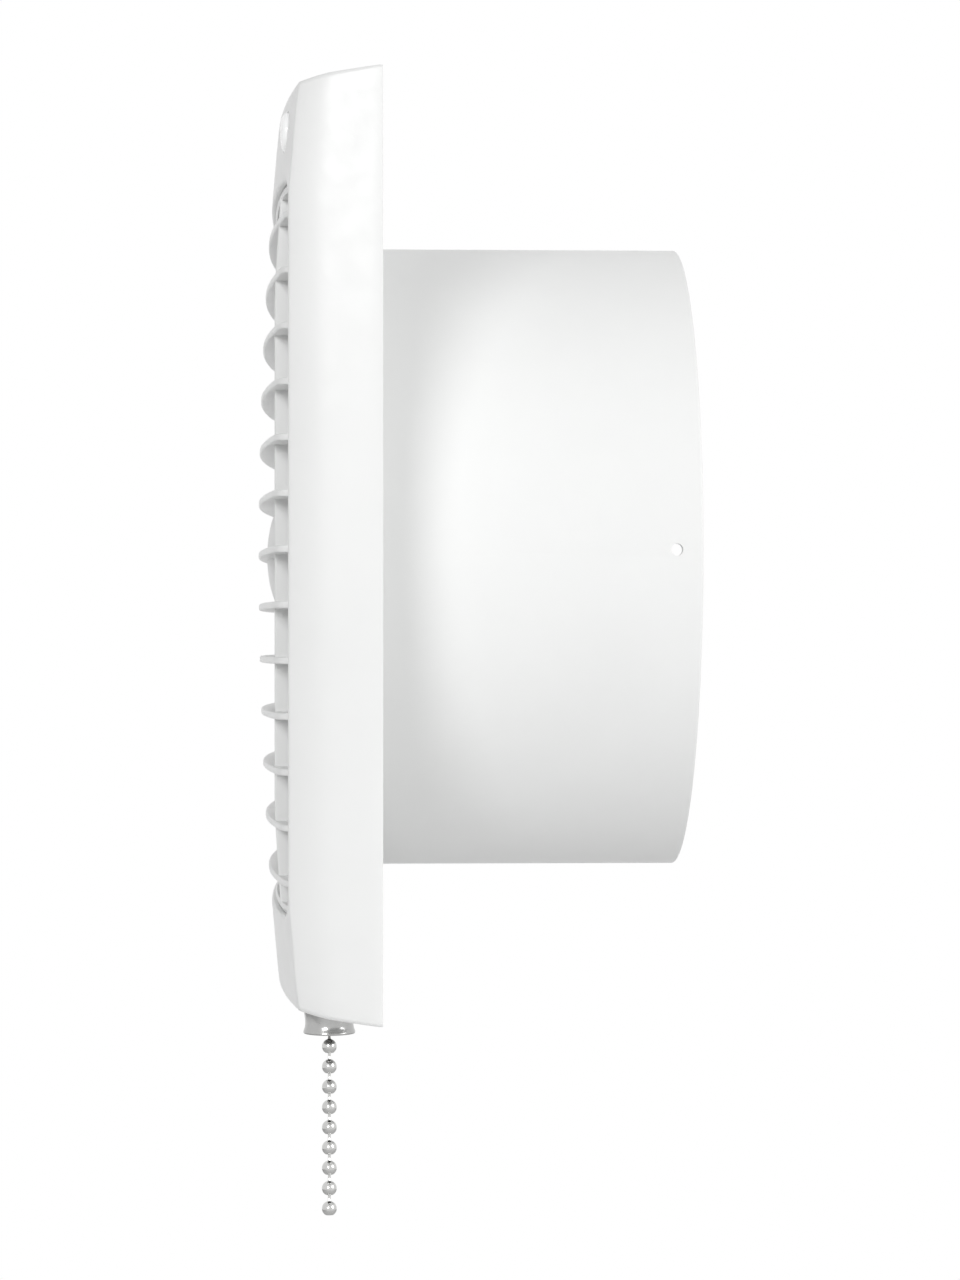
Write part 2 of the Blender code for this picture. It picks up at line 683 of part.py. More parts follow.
def beadProfile():
    # From the head of the pin above, down the ball, and up into the socket under it.
    headZ = beadPitch - socketDrop
    head = [(0, headZ + 0.95), (0.67, headZ + 0.67), (0.95, headZ), (0.32, headZ - 0.85)]
    ball = [(0.32, beadRadius * math.cos(math.asin(0.32 / beadRadius)))]
    for degrees in (40, 75, 110, 145):
        angle = math.radians(degrees)
        ball.append((beadRadius * math.sin(angle), beadRadius * math.cos(angle)))
    return head + ball + socketProfile()


def socketProfile():
    return [(0.86, -1.38), (1.2, -socketDrop), (0.8, 0.6), (0, 0.86)]


def buildChain(parts, nickel):
    bm = bmesh.new()
    addTurned(bm, beadProfile(), 8, "Z", (0, 0, socketDrop - beadPitch))
    mesh = finishMesh("chain_bead", bm)
    mesh.materials.append(nickel)
    mesh.shade_smooth()
    mesh.set_sharp_from_angle(angle=math.radians(50))
    above = parts["switch_stem"]
    for number in range(1, beadCount + 1):
        bead = bpy.data.objects.new("chain_bead_%d" % number, mesh)
        pivotZ = firstBeadZ - beadPitch * (number - 1) + beadPitch - socketDrop
        bead.location = Vector((chainX, chainY, pivotZ)) * mm
        bpy.context.scene.collection.objects.link(bead)
        parts[bead.name] = bead
        attach(bead, above)
        above = bead


def buildSwitch(phenolic, nickel, steel):
    parts = {}
    centre = (chainX, chainY, 0)
    bm = bmesh.new()
    front, back, side = chainY - 4.2, chainY + 6.2, 10.5
    addPrism(bm, [(chainX - side, front + 1.5), (chainX - side + 1.5, front), (chainX + side - 1.5, front),
                  (chainX + side, front + 1.5), (chainX + side, back), (chainX - side, back)], -95.8, -75, "XY")
    body = makePart("switch_body", bm, phenolic)
    bm = bmesh.new()
    addRod(bm, 3.8, -102.6, -94, 12, "Z", centre)
    combine(body, makeTool("switch_neck", bm), "UNION")
    bm = bmesh.new()
    addTurned(bm, [(0, -104), (1.7, -104), (1.7, -98), (2.6, -98), (2.6, -79), (0, -79)], 10, "Z", centre)
    for z in (-81.0, -87.0):
        addRod(bm, 1.2, chainX - 13, chainX - 7, 8, "X", (0, chainY, z))
    addRod(bm, 1.2, -79, -73, 8, "Z", (chainX + 6, chainY, 0))
    combine(body, makeTool("switch_holes", bm), "DIFFERENCE")
    parts["switch_body"] = body

    bm = bmesh.new()
    addTurned(bm, [(5.7, ferruleTop), (5.4, -102.2), (5.3, -103.8), (5.5, -105.2), (5.7, ferruleBottom + 0.4),
                   (5.5, ferruleBottom), (4.9, ferruleBottom), (2.3, -104.4), (2.3, -102.9), (4.1, -102.9),
                   (4.1, ferruleTop)], 16, "Z", centre, closed=True)
    parts["chain_ferrule"] = makePart("chain_ferrule", bm, nickel)

    ballZ = firstBeadZ + beadPitch
    bm = bmesh.new()
    profile = [(0, -81.0), (2.0, -81.0), (2.2, -81.4), (2.2, -84.0), (1.2, -84.0)]
    profile.append((1.2, ballZ + beadRadius * math.cos(math.asin(1.2 / beadRadius))))
    for degrees in (68, 90, 118, 145):
        angle = math.radians(degrees)
        profile.append((beadRadius * math.sin(angle), ballZ + beadRadius * math.cos(angle)))
    profile += [(radius, ballZ + height) for radius, height in socketProfile()]
    addTurned(bm, profile, 10, "Z", centre)
    parts["switch_stem"] = makePart("switch_stem", bm, nickel, (chainX, chainY, ballZ))

    turns = 4
    perTurn = 6
    bottom = -97.4
    top = -84.6
    curve = bpy.data.curves.new("switch_spring", "CURVE")
    curve.dimensions = "3D"
    curve.bevel_depth = 0.3 * mm
    curve.bevel_resolution = 0
    curve.use_fill_caps = True
    spline = curve.splines.new("POLY")
    spline.points.add(turns * perTurn)
    for index, point in enumerate(spline.points):
        angle = 2 * math.pi * index / perTurn
        height = bottom + (top - bottom) * index / (turns * perTurn)
        point.co = (1.9 * math.cos(angle) * mm, 1.9 * math.sin(angle) * mm, height * mm, 1)
    curve.materials.append(steel)
    spring = bpy.data.objects.new("switch_spring", curve)
    spring.location = (chainX * mm, chainY * mm, 0)
    bpy.context.scene.collection.objects.link(spring)
    parts["switch_spring"] = spring
    return parts


def smoothRoute(points, spacing):
    # A Catmull-Rom curve through the route's points, read at an even spacing.
    route = np.array([points[0], *points, points[-1]], dtype=float)
    dense = []
    for index in range(1, len(route) - 2):
        before, start, end, after = route[index - 1:index + 3]
        for share in np.linspace(0, 1, 24, endpoint=False):
            square = share * share
            cube = square * share
            dense.append(0.5 * (2 * start + (end - before) * share
                                + (2 * before - 5 * start + 4 * end - after) * square
                                + (3 * start - before - 3 * end + after) * cube))
    dense.append(route[-1])
    dense = np.array(dense)
    lengths = np.concatenate(([0], np.cumsum(np.linalg.norm(np.diff(dense, axis=0), axis=1))))
    count = max(int(lengths[-1] / spacing), 4)
    wanted = np.linspace(0, lengths[-1], count + 1)
    return np.column_stack([np.interp(wanted, lengths, dense[:, k]) for k in range(3)])


def buildLead(name, finish, points, radius=0.8):
    route = smoothRoute(points, leadSpacing)
    curve = bpy.data.curves.new(name, "CURVE")
    curve.dimensions = "3D"
    curve.bevel_depth = radius * mm
    curve.bevel_resolution = 1
    curve.use_fill_caps = True
    spline = curve.splines.new("POLY")
    spline.points.add(len(route) - 1)
    for point, place in zip(spline.points, route):
        point.co = (*(place * mm), 1)
    curve.materials.append(finish)
    lead = bpy.data.objects.new(name, curve)
    bpy.context.scene.collection.objects.link(lead)
    return lead


def buildLeads(brown, blue, black, white, red):
    # Single insulated leads, clipped inside the housing.
    parts = {}
    parts["motor_lead_live"] = buildLead("motor_lead_live", brown, [
        (-14.6, 5.5, -40.0), (-19.0, 2.0, -37.0), (-27.0, -2.0, -35.0), (-38.0, -2.4, -40.0), (-49.0, -4.4, -50.0),
        (-56.0, -6.4, -56.6), (-62.0, -6.4, -61.5), (-68.0, -5.8, -65.4), (-72.0, -5.6, -66.0), (-77.0, -5.6, -66.0)])
    parts["motor_lead_neutral"] = buildLead("motor_lead_neutral", blue, [
        (-14.6, 5.5, -46.0), (-20.0, 2.0, -43.5), (-28.0, -2.0, -40.0), (-37.0, -2.4, -43.0), (-47.4, -4.4, -52.0),
        (-54.6, -6.4, -58.2), (-60.0, -6.4, -65.0), (-66.0, -5.8, -72.4), (-71.0, -5.6, -74.0), (-77.0, -5.6, -74.0)])
    parts["switch_lead_live"] = buildLead("switch_lead_live", black, [
        (72.0, -11.2, -87.0), (66.0, -11.0, -87.0), (56.0, -7.0, -86.5), (40.0, -4.6, -87.0), (16.0, -4.6, -86.6),
        (0.0, -4.6, -85.6), (-16.0, -4.6, -86.6), (-40.0, -4.6, -89.0), (-60.0, -5.2, -90.0), (-72.0, -5.6, -90.0),
        (-77.0, -5.6, -90.0)])
    parts["switch_lead_return"] = buildLead("switch_lead_return", red, [
        (72.0, -11.2, -81.0), (66.0, -11.0, -81.0), (58.0, -7.4, -82.0), (44.0, -5.0, -83.4), (20.0, -7.2, -84.8),
        (0.0, -7.2, -85.0), (-20.0, -7.2, -84.8), (-44.0, -5.0, -84.0), (-62.0, -5.4, -82.4), (-72.0, -5.6, -82.0),
        (-77.0, -5.6, -82.0)])
    parts["lamp_lead"] = buildLead("lamp_lead", white, [
        (80.0, -6.2, 87.6), (80.0, -6.2, 82.0), (83.0, -6.2, 70.0), (91.0, -5.6, 50.0), (92.0, -5.0, 20.0),
        (92.0, -5.0, -20.0), (91.4, -6.0, -50.0), (88.0, -9.6, -64.0), (86.0, -11.2, -71.0), (86.0, -11.2, -78.0)])
    return parts


def buildPart():
    clearScene()
    whitePlastic = makeFinish("white_plastic", (0.86, 0.86, 0.85), 0.35)
    dullWhite = makeFinish("dull_white_plastic", (0.80, 0.80, 0.79), 0.45)
    clear = makeFinish("clear_plastic", (0.90, 0.92, 0.92), 0.10)
    glass = makeFinish("lamp_glass", (0.95, 0.45, 0.25), 0.15)
    nylon = makeFinish("nylon", (0.88, 0.87, 0.82), 0.50)
    phenolic = makeFinish("black_phenolic", (0.05, 0.05, 0.05), 0.40)
    greyPlastic = makeFinish("grey_plastic", (0.75, 0.76, 0.76), 0.45)
    steel = makeFinish("steel", (0.56, 0.57, 0.58), 0.35, 1.0)
    zinc = makeFinish("zinc", (0.62, 0.62, 0.60), 0.45, 1.0)
    bronze = makeFinish("bronze", (0.60, 0.42, 0.22), 0.40, 1.0)
    copper = makeFinish("copper_winding", (0.62, 0.30, 0.14), 0.40, 0.6)
    aluminium = makeFinish("aluminium", (0.70, 0.71, 0.72), 0.40, 1.0)
    brass = makeFinish("brass", (0.78, 0.62, 0.30), 0.30, 1.0)
    nickel = makeFinish("nickel", (0.72, 0.72, 0.72), 0.18, 1.0)
    brown = makeFinish("brown_insulation", (0.25, 0.12, 0.06), 0.50)
    blue = makeFinish("blue_insulation", (0.08, 0.20, 0.55), 0.50)
    black = makeFinish("black_insulation", (0.04, 0.04, 0.04), 0.50)
    red = makeFinish("red_insulation", (0.55, 0.06, 0.05), 0.50)
    whiteLead = makeFinish("white_insulation", (0.80, 0.80, 0.80), 0.50)

    buildCover(whitePlastic)
    buildGrille(whitePlastic)
    buildHousing(dullWhite)
    buildSpigot(dullWhite)
    buildMount(dullWhite)
    motor = buildMotor(steel, zinc, bronze, copper, aluminium, nylon, brass)
    impeller = buildImpeller(greyPlastic)
    bm = bmesh.new()
    addTube(bm, 4.6, shaftRadius + pieceGap, impellerBack + pieceGap, impellerBack + 1.4, 12)
    clip = makePart("impeller_clip", bm, steel)
    buildTerminals(nylon, brass)
    buildClamp(nylon, steel)
    buildIndicator(clear, glass, nylon)
    switch = buildSwitch(phenolic, nickel, steel)
    buildChain(switch, nickel)
    buildLeads(brown, blue, black, whiteLead, red)
    bm = bmesh.new()
    addTurned(bm, [(0, -101.6), (3.3, -101.6), (1.5, -100.0), (1.2, -99.7), (1.2, -89.9), (0, -89.9)], 12, "Z",
              (0, coverScrewY, 0))
    makePart("cover_screw", bm, steel)

    rotorAxis = makeEmpty("rotor_axis", (0, (impellerFront + impellerBack) / 2, 0))
    for part in (motor["rotor"], motor["motor_shaft"], impeller, clip):
        attach(part, rotorAxis)


buildPart()
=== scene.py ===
import math

import bmesh
import bpy
import numpy as np
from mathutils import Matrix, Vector


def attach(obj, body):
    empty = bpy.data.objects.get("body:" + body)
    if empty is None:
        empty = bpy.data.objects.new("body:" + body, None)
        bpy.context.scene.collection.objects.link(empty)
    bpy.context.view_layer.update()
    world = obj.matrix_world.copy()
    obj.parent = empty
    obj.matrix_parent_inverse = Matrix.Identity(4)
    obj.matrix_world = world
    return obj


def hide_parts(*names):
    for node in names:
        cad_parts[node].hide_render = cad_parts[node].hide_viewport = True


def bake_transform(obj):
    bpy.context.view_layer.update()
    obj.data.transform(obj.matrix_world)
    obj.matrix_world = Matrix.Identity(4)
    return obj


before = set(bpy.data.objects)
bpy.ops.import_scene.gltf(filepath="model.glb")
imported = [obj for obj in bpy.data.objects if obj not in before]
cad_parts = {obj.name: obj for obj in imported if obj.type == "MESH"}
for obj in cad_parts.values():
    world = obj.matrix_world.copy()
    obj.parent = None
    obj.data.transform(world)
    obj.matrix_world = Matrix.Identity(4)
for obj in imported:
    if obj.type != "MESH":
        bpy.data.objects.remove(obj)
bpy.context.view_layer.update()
print("frame loaded:", len(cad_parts), "nodes")

mm = 0.001  # sizes and places are written in millimetres

# The front's crown: the slats' own, and the cover's bands above, below and beside them.
crown = {"top": 28.1, "fallX": 0.0008, "fallZ": 0.00045}
band = {"start": 80.0, "edge": 19.3, "edgeFall": 0.0042, "fall": 0.0005, "bow": 2.3, "half": 98.0,
        "land": 20.05, "landX": (66.0, 84.0), "landZ": (75.0, 86.0)}

# Points nearer than merge, in metres, become one. A corner whose cosine is past straight stays as it is.
meshing = {"merge": 1e-7, "thinnest": 1e-8, "smoothAngle": 40, "cutSmoothAngle": 35,
           "straight": -0.995, "cornerShare": 0.45, "sideways": (0.3, 0.5, 0.81), "holeSteps": 32}

# Which of (cosine, sine, height) x, y and z take when a profile turns about an axis.
axisTurns = {"X": (2, 0, 1), "Y": (1, 2, 0), "Z": (0, 1, 2)}


# Mesh tools

def slatStand(x, z):
    # Top minus a fall that grows with the square of x and of z.
    return crown["top"] - crown["fallX"] * x * x - crown["fallZ"] * z * z


def easeBetween(value, span):
    # A smooth step from 0 to 1: three squares less two cubes of the share of the span.
    share = np.clip((np.abs(value) - span[0]) / (span[1] - span[0]), 0, 1)
    return share * share * (3 - 2 * share)


def faceStand(x, z):
    # A band's edge falls with the square of the way past its start, and its middle stands higher
    # by a bow across: 1 minus a power of the share of its half width.
    # Beside the grille the band eases into a level land.
    past = np.maximum(np.abs(z) - band["start"], 0)
    edge = band["edge"] - band["edgeFall"] * past * past
    ridge = crown["top"] - band["fall"] * z * z
    stand = edge + (ridge - edge) * (1 - (np.abs(x) / band["half"]) ** band["bow"])
    land = (1 - easeBetween(z, band["landZ"])) * easeBetween(x, band["landX"])
    return stand + (band["land"] - stand) * land


def gridFaces(rows, columns, wrapRows):
    # Quads between neighbours on a grid, whose columns close on themselves, and its rows where asked.
    r = np.arange(rows if wrapRows else rows - 1)
    r, c = [item.ravel() for item in np.meshgrid(r, np.arange(columns), indexing="ij")]
    here = r * columns
    above = (r + 1) % rows * columns
    nextC = (c + 1) % columns
    return np.column_stack((here + c, here + nextC, above + nextC, above + c))


def islandFromGrid(points, wrapRows=False, caps=False):
    # One island: its points as rows of x, y, z, its quads, and the fans that close its ends.
    rows, columns = points.shape[:2]
    verts = points.reshape(-1, 3)
    faceSets = [gridFaces(rows, columns, wrapRows)]
    if caps:
        middle = len(verts)
        verts = np.vstack((verts, points[0].mean(axis=0), points[-1].mean(axis=0)))
        last = (rows - 1) * columns
        here = np.arange(columns)
        after = (here + 1) % columns
        faceSets.append(np.column_stack((np.full(columns, middle), after, here)))
        faceSets.append(np.column_stack((np.full(columns, middle + 1), last + here, last + after)))
    return verts, faceSets


def makeMesh(name, islands, material, smoothAngle=meshing["smoothAngle"]):
    # Islands in millimetres become one mesh in metres, with its faces turned outwards.
    verts = []
    faces = []
    start = 0
    for points, faceSets in islands:
        verts.append(points)
        for faceSet in faceSets:
            faces += (faceSet + start).tolist()
        start += len(points)
    mesh = bpy.data.meshes.new(name)
    mesh.from_pydata((np.vstack(verts) * mm).tolist(), [], faces)
    work = bmesh.new()
    work.from_mesh(mesh)
    bmesh.ops.remove_doubles(work, verts=work.verts, dist=meshing["merge"])
    bmesh.ops.dissolve_degenerate(work, edges=work.edges, dist=meshing["thinnest"])
    bmesh.ops.recalc_face_normals(work, faces=work.faces)
    work.to_mesh(mesh)
    work.free()
    mesh.materials.append(material)
    mesh.shade_smooth()
    mesh.set_sharp_from_angle(angle=math.radians(smoothAngle))
    piece = bpy.data.objects.new(name, mesh)
    bpy.context.scene.collection.objects.link(piece)
    return piece


def softProfile(points, radius, steps=4, closed=False):
    # Each corner of a profile becomes a quadratic arc, (1 - t)^2 start + 2 t (1 - t) corner + t^2 end,
    # that meets its two sides where they leave it.
    points = np.array(points, dtype=float)
    count = len(points)
    radii = np.broadcast_to(radius, count)
    result = []
    for index in range(count):
        here = points[index]
        if not closed and index in (0, count - 1):
            result.append(here)
            continue
        before = points[index - 1] - here
        after = points[(index + 1) % count] - here
        lengthBefore, lengthAfter = np.linalg.norm(before), np.linalg.norm(after)
        cosine = np.clip(np.dot(before, after) / (lengthBefore * lengthAfter), -1, 1)
        if radii[index] <= 0 or cosine < meshing["straight"]:
            result.append(here)
            continue
        longest = meshing["cornerShare"] * min(lengthBefore, lengthAfter)
        cut = min(radii[index] / math.tan(math.acos(cosine) / 2), longest)
        start = here + before / lengthBefore * cut
        end = here + after / lengthAfter * cut
        share = np.linspace(0, 1, steps + 1)[:, None]
        result.extend((1 - share) ** 2 * start + 2 * share * (1 - share) * here + share ** 2 * end)
    return np.array(result)


def turnedIsland(profile, steps, axis="Y", centre=(0, 0, 0), closed=False):
    # (radius, height) points carried round an axis: radius times cosine, radius times sine, height.
    profile = np.array(profile, dtype=float)
    angles = 2 * np.pi * np.arange(steps) / steps
    across = profile[:, :1] * np.cos(angles)
    up = profile[:, :1] * np.sin(angles)
    height = np.broadcast_to(profile[:, 1:], across.shape)
    points = np.take(np.stack((across, up, height), axis=-1), axisTurns[axis], axis=-1)
    return islandFromGrid(points + np.array(centre, dtype=float), wrapRows=closed)


def boxIsland(low, high, turn=None):
    # Eight corners and six faces, with an optional turn.
    low, high = np.array(low, dtype=float), np.array(high, dtype=float)
    picks = np.array([[i, j, k] for i in (0, 1) for j in (0, 1) for k in (0, 1)])
    points = low + picks * (high - low)
    if turn is not None:
        points = points @ turn.T
    faces = [[0, 1, 3, 2], [4, 6, 7, 5], [0, 4, 5, 1], [2, 3, 7, 6], [0, 2, 6, 4], [1, 5, 7, 3]]
    return points, [np.array(faces)]


def prismIsland(outline, front, back):
    # An outline in x and z carried straight from one depth to another.
    depths = np.array([front, back])[:, None, None]
    flat = np.insert(outline, 1, 0.0, axis=1)
    return islandFromGrid(flat[None, :, :] + depths * (0, 1, 0), caps=True)


def turnAboutY(degrees):
    # Rotation that carries +X towards -Z.
    angle = math.radians(degrees)
    cosine, sine = math.cos(angle), math.sin(angle)
    return np.array([[cosine, 0, sine], [0, 1, 0], [-sine, 0, cosine]])


def sweptIsland(route, radius, sides):
    # A circle carried along a route: point plus radius times (cosine first + sine second), whose two
    # directions are kept from twisting from point to point.
    route = np.array(route, dtype=float)
    tangents = np.gradient(route, axis=0)
    tangents /= np.linalg.norm(tangents, axis=1)[:, None]
    normal = np.cross(tangents[0], meshing["sideways"])
    normals = []
    for tangent in tangents:
        normal = normal - tangent * np.dot(normal, tangent)
        normal = normal / np.linalg.norm(normal)
        normals.append(normal)
    normals = np.array(normals)
    second = np.cross(tangents, normals)
    angles = (2 * np.pi * np.arange(sides) / sides)[None, :, None]
    circle = normals[:, None, :] * np.cos(angles) + second[:, None, :] * np.sin(angles)
    return islandFromGrid(route[:, None, :] + radius * circle, caps=True)


def smoothCurve(points, perStretch=8):
    # Catmull-Rom through the points: each stretch is a cubic of its four neighbours.
    route = np.array([points[0], *points, points[-1]], dtype=float)
    shares = np.linspace(0, 1, perStretch, endpoint=False)[:, None]
    stretches = []
    for index in range(1, len(route) - 2):
        a, b, c, d = route[index - 1:index + 3]
        stretches.append(0.5 * (2 * b + (c - a) * shares + (2 * a - 5 * b + 4 * c - d) * shares ** 2
                                + (3 * b - a - 3 * c + d) * shares ** 3))
    return np.vstack(stretches + [route[-1:]])


def squareRing(halfX, halfZ, corner, sideSteps, cornerSteps):
    # A rectangle with round corners, from +X round by way of +Z: a quarter is worked out and turned
    # for each of its sides.
    sideHalf = sideSteps // 2
    angles = np.pi / 2 * np.arange(cornerSteps) / cornerSteps
    quarters = []
    for turn in range(4):
        wide, high = (halfX, halfZ) if turn % 2 == 0 else (halfZ, halfX)
        share = np.arange(sideHalf) / sideHalf
        points = np.vstack((np.column_stack((np.full(sideHalf, wide), (high - corner) * share)),
                            np.column_stack((wide - corner + corner * np.cos(angles),
                                             high - corner + corner * np.sin(angles))),
                            np.column_stack(((wide - corner) * (1 - share), np.full(sideHalf, high)))))
        for _ in range(turn):
            points = np.column_stack((-points[:, 1], points[:, 0]))
        quarters.append(points)
    return np.vstack(quarters)


def roundRing(radius, sideSteps, cornerSteps):
    # A circle with as many points as a square ring of the same steps.
    count = 4 * (sideSteps + cornerSteps)
    angles = 2 * np.pi * np.arange(count) / count
    return radius * np.column_stack((np.cos(angles), np.sin(angles)))


def ringAt(outline, stand):
    # An outline in x and z that stands off the wall towards the room.
    stand = np.broadcast_to(stand, len(outline))
    return np.column_stack((outline[:, 0], -stand, outline[:, 1]))


def faceRing(outline, sunk=0.0):
    # An outline laid on the front's crown, or sunk below it.
    return ringAt(outline, faceStand(outline[:, 0], outline[:, 1]) - sunk)


def cutWith(piece, islands):
    # The islands are cut out of the piece and the result is kept as its mesh.
    tool = makeMesh("cutter", islands, bpy.data.materials[0])
    modifier = piece.modifiers.new("cut", "BOOLEAN")
    modifier.operation = "DIFFERENCE"
    modifier.object = tool
    bpy.context.view_layer.update()
    seen = piece.evaluated_get(bpy.context.evaluated_depsgraph_get())
    cut = bpy.data.meshes.new_from_object(seen)
    piece.modifiers.clear()
    old = piece.data
    name = old.name
    piece.data = cut
    bpy.data.meshes.remove(old)
    cut.name = name
    bpy.data.objects.remove(tool, do_unlink=True)
    while len(cut.materials) > 1:
        cut.materials.pop()
    cut.polygons.foreach_set("material_index", np.zeros(len(cut.polygons), dtype=np.int32))
    cut.shade_smooth()
    cut.set_sharp_from_angle(angle=math.radians(meshing["cutSmoothAngle"]))


def place(piece, body, slotName, *nodes):
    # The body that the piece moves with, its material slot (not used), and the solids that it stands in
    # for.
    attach(piece, body)
    if nodes:
        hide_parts(*nodes)


# Finishes

noiseSpan = (0.3, 0.7)  # most of a pattern's values lie between these


def newFinish(name):
    # A new material, its nodes, its shader, and the place on the object that a pattern reads.
    material = bpy.data.materials.new(name)
    material.use_nodes = True
    tree = material.node_tree
    where = tree.nodes.new("ShaderNodeTexCoord")
    return material, tree, tree.nodes["Principled BSDF"], where.outputs["Object"]


def noiseFrom(tree, where, scale, detail=4.0, roughness=0.55):
    # A cloudy pattern. Its scale is the number of clouds to a metre, about.
    noise = tree.nodes.new("ShaderNodeTexNoise")
    noise.inputs["Scale"].default_value = scale
    noise.inputs["Detail"].default_value = detail
    noise.inputs["Roughness"].default_value = roughness
    tree.links.new(where, noise.inputs["Vector"])
    return noise.outputs["Fac"]


def spreadColour(tree, shader, factor, low, high):
    # The pattern runs the colour from low to high.
    ramp = tree.nodes.new("ShaderNodeValToRGB")
    for element, position, colour in zip(ramp.color_ramp.elements, noiseSpan, (low, high)):
        element.position = position
        element.color = (*colour, 1)
    tree.links.new(factor, ramp.inputs["Fac"])
    tree.links.new(ramp.outputs["Color"], shader.inputs["Base Color"])


def spreadGloss(tree, shader, factor, low, high):
    # The pattern runs the roughness from low to high.
    span = tree.nodes.new("ShaderNodeMapRange")
    span.inputs["From Min"].default_value = noiseSpan[0]
    span.inputs["From Max"].default_value = noiseSpan[1]
    span.inputs["To Min"].default_value = low
    span.inputs["To Max"].default_value = high
    tree.links.new(factor, span.inputs["Value"])
    tree.links.new(span.outputs["Result"], shader.inputs["Roughness"])


def bumpFrom(tree, shader, factor, strength, depth):
    # The pattern leans the shading, as if the skin rose by depth where it is light.
    bump = tree.nodes.new("ShaderNodeBump")
    bump.inputs["Strength"].default_value = strength
    bump.inputs["Distance"].default_value = depth
    tree.links.new(factor, bump.inputs["Height"])
    tree.links.new(bump.outputs["Normal"], shader.inputs["Normal"])


def mouldedPlastic(name, look):
    # Moulded skin: a faint cloud in the colour, uneven gloss, and a fine orange peel in the surface.
    material, tree, shader, where = newFinish(name)
    colour, rough = np.array(look["colour"]), look["roughness"]
    cloud = noiseFrom(tree, where, look["cloudScale"])
    gloss = noiseFrom(tree, where, look["glossScale"])
    peel = noiseFrom(tree, where, look["peelScale"], detail=2.0)
    spreadColour(tree, shader, cloud, colour * (1 - look["cloud"]), colour)
    spreadGloss(tree, shader, gloss, rough - look["smoother"], rough + look["rougher"])
    bumpFrom(tree, shader, peel, look["peel"], look["peelDepth"])
    shader.inputs["IOR"].default_value = look["ior"]
    shader.inputs["Specular IOR Level"].default_value = look["shine"]
    shader.inputs["Subsurface Weight"].default_value = look["subsurface"]
    shader.inputs["Subsurface Radius"].default_value = look["subsurfaceRadius"]
    return material


def platedMetal(name, look):
    # Plated or bare metal: fine scratches in the gloss and a light ripple.
    material, tree, shader, where = newFinish(name)
    colour, rough = np.array(look["colour"]), look["roughness"]
    stretch = tree.nodes.new("ShaderNodeMapping")
    stretch.inputs["Scale"].default_value = look["stretch"]
    tree.links.new(where, stretch.inputs["Vector"])
    scratch = noiseFrom(tree, stretch.outputs["Vector"], look["scratchScale"], detail=5.0, roughness=0.65)
    tarnish = noiseFrom(tree, where, look["tarnishScale"], detail=3.0)
    spreadColour(tree, shader, tarnish, colour * (1 - look["tarnish"]), colour)
    spreadGloss(tree, shader, scratch, rough * look["smoother"], rough * look["rougher"])
    bumpFrom(tree, shader, scratch, look["ripple"], look["rippleDepth"])
    shader.inputs["Metallic"].default_value = 1.0
    return material


def bandedMetal(name, look):
    # Stacked sheets or wound wire: even bands along one direction, in the colour and the surface.
    material, tree, shader, where = newFinish(name)
    colour, rough = np.array(look["colour"]), look["roughness"]
    wave = tree.nodes.new("ShaderNodeTexWave")
    wave.bands_direction = look["direction"]
    wave.inputs["Scale"].default_value = look["bandScale"]
    wave.inputs["Distortion"].default_value = look["wander"]
    wave.inputs["Detail"].default_value = 1.0
    tree.links.new(where, wave.inputs["Vector"])
    bands = wave.outputs["Fac"]
    stain = noiseFrom(tree, where, look["stainScale"])
    spreadColour(tree, shader, bands, colour * look["groove"], colour)
    spreadGloss(tree, shader, stain, rough - look["smoother"], rough + look["rougher"])
    bumpFrom(tree, shader, bands, look["ridge"], look["ridgeDepth"])
    shader.inputs["Metallic"].default_value = look["metallic"]
    return material


def clearPlastic(name, look):
    # Clear moulding: light goes through, and a faint haze shows in the gloss. Its faint white emission is
    # painted light.
    material, tree, shader, where = newFinish(name)
    colour, rough = np.array(look["colour"]), look["roughness"]
    haze = noiseFrom(tree, where, look["hazeScale"])
    tint = noiseFrom(tree, where, look["tintScale"])
    spreadColour(tree, shader, tint, colour * (1 - look["tint"]), colour)
    spreadGloss(tree, shader, haze, rough, rough + look["rougher"])
    shader.inputs["Transmission Weight"].default_value = look["clear"]
    # Painted light: a faint white emission brightens the moulding, as much as its look asks.
    shader.inputs["Emission Color"].default_value = (1, 1, 1, 1)
    shader.inputs["Emission Strength"].default_value = look["paintedGlow"]
    shader.inputs["IOR"].default_value = look["ior"]
    return material


whiteLook = {"colour": (0.86, 0.865, 0.86), "cloud": 0.02, "cloudScale": 35.0, "roughness": 0.32,
             "smoother": 0.04, "rougher": 0.05, "glossScale": 220.0, "peelScale": 900.0, "peel": 0.05,
             "peelDepth": 0.0001, "ior": 1.5, "shine": 0.35, "subsurface": 0.05,
             "subsurfaceRadius": (0.002, 0.002, 0.002)}
spigotLook = {**whiteLook, "roughness": 0.40, "peelScale": 700.0, "peel": 0.08}
impellerLook = {**whiteLook, "colour": (0.70, 0.715, 0.72), "roughness": 0.38}
nylonLook = {**whiteLook, "colour": (0.82, 0.80, 0.73), "roughness": 0.46, "peel": 0.15}
bobbinLook = {**nylonLook, "colour": (0.72, 0.70, 0.64)}
blackLook = {**whiteLook, "colour": (0.03, 0.03, 0.032), "cloud": 0.2, "roughness": 0.36, "subsurface": 0.0}
nickelLook = {"colour": (0.62, 0.62, 0.61), "tarnish": 0.06, "tarnishScale": 500.0, "scratchScale": 900.0,
              "stretch": (1.0, 1.0, 0.2), "roughness": 0.13, "smoother": 0.7, "rougher": 1.4,
              "ripple": 0.10, "rippleDepth": 0.00005}
# Darker than the chain's nickel: painted shade for the ferrule's darker reflections.
shadedFerruleLook = {**nickelLook, "colour": (0.46, 0.46, 0.455), "roughness": 0.19}
steelLook = {**nickelLook, "colour": (0.62, 0.63, 0.64), "roughness": 0.28, "tarnish": 0.12}
zincLook = {**nickelLook, "colour": (0.55, 0.55, 0.54), "roughness": 0.42, "tarnish": 0.15, "ripple": 0.35,
            "stretch": (1.0, 1.0, 1.0)}
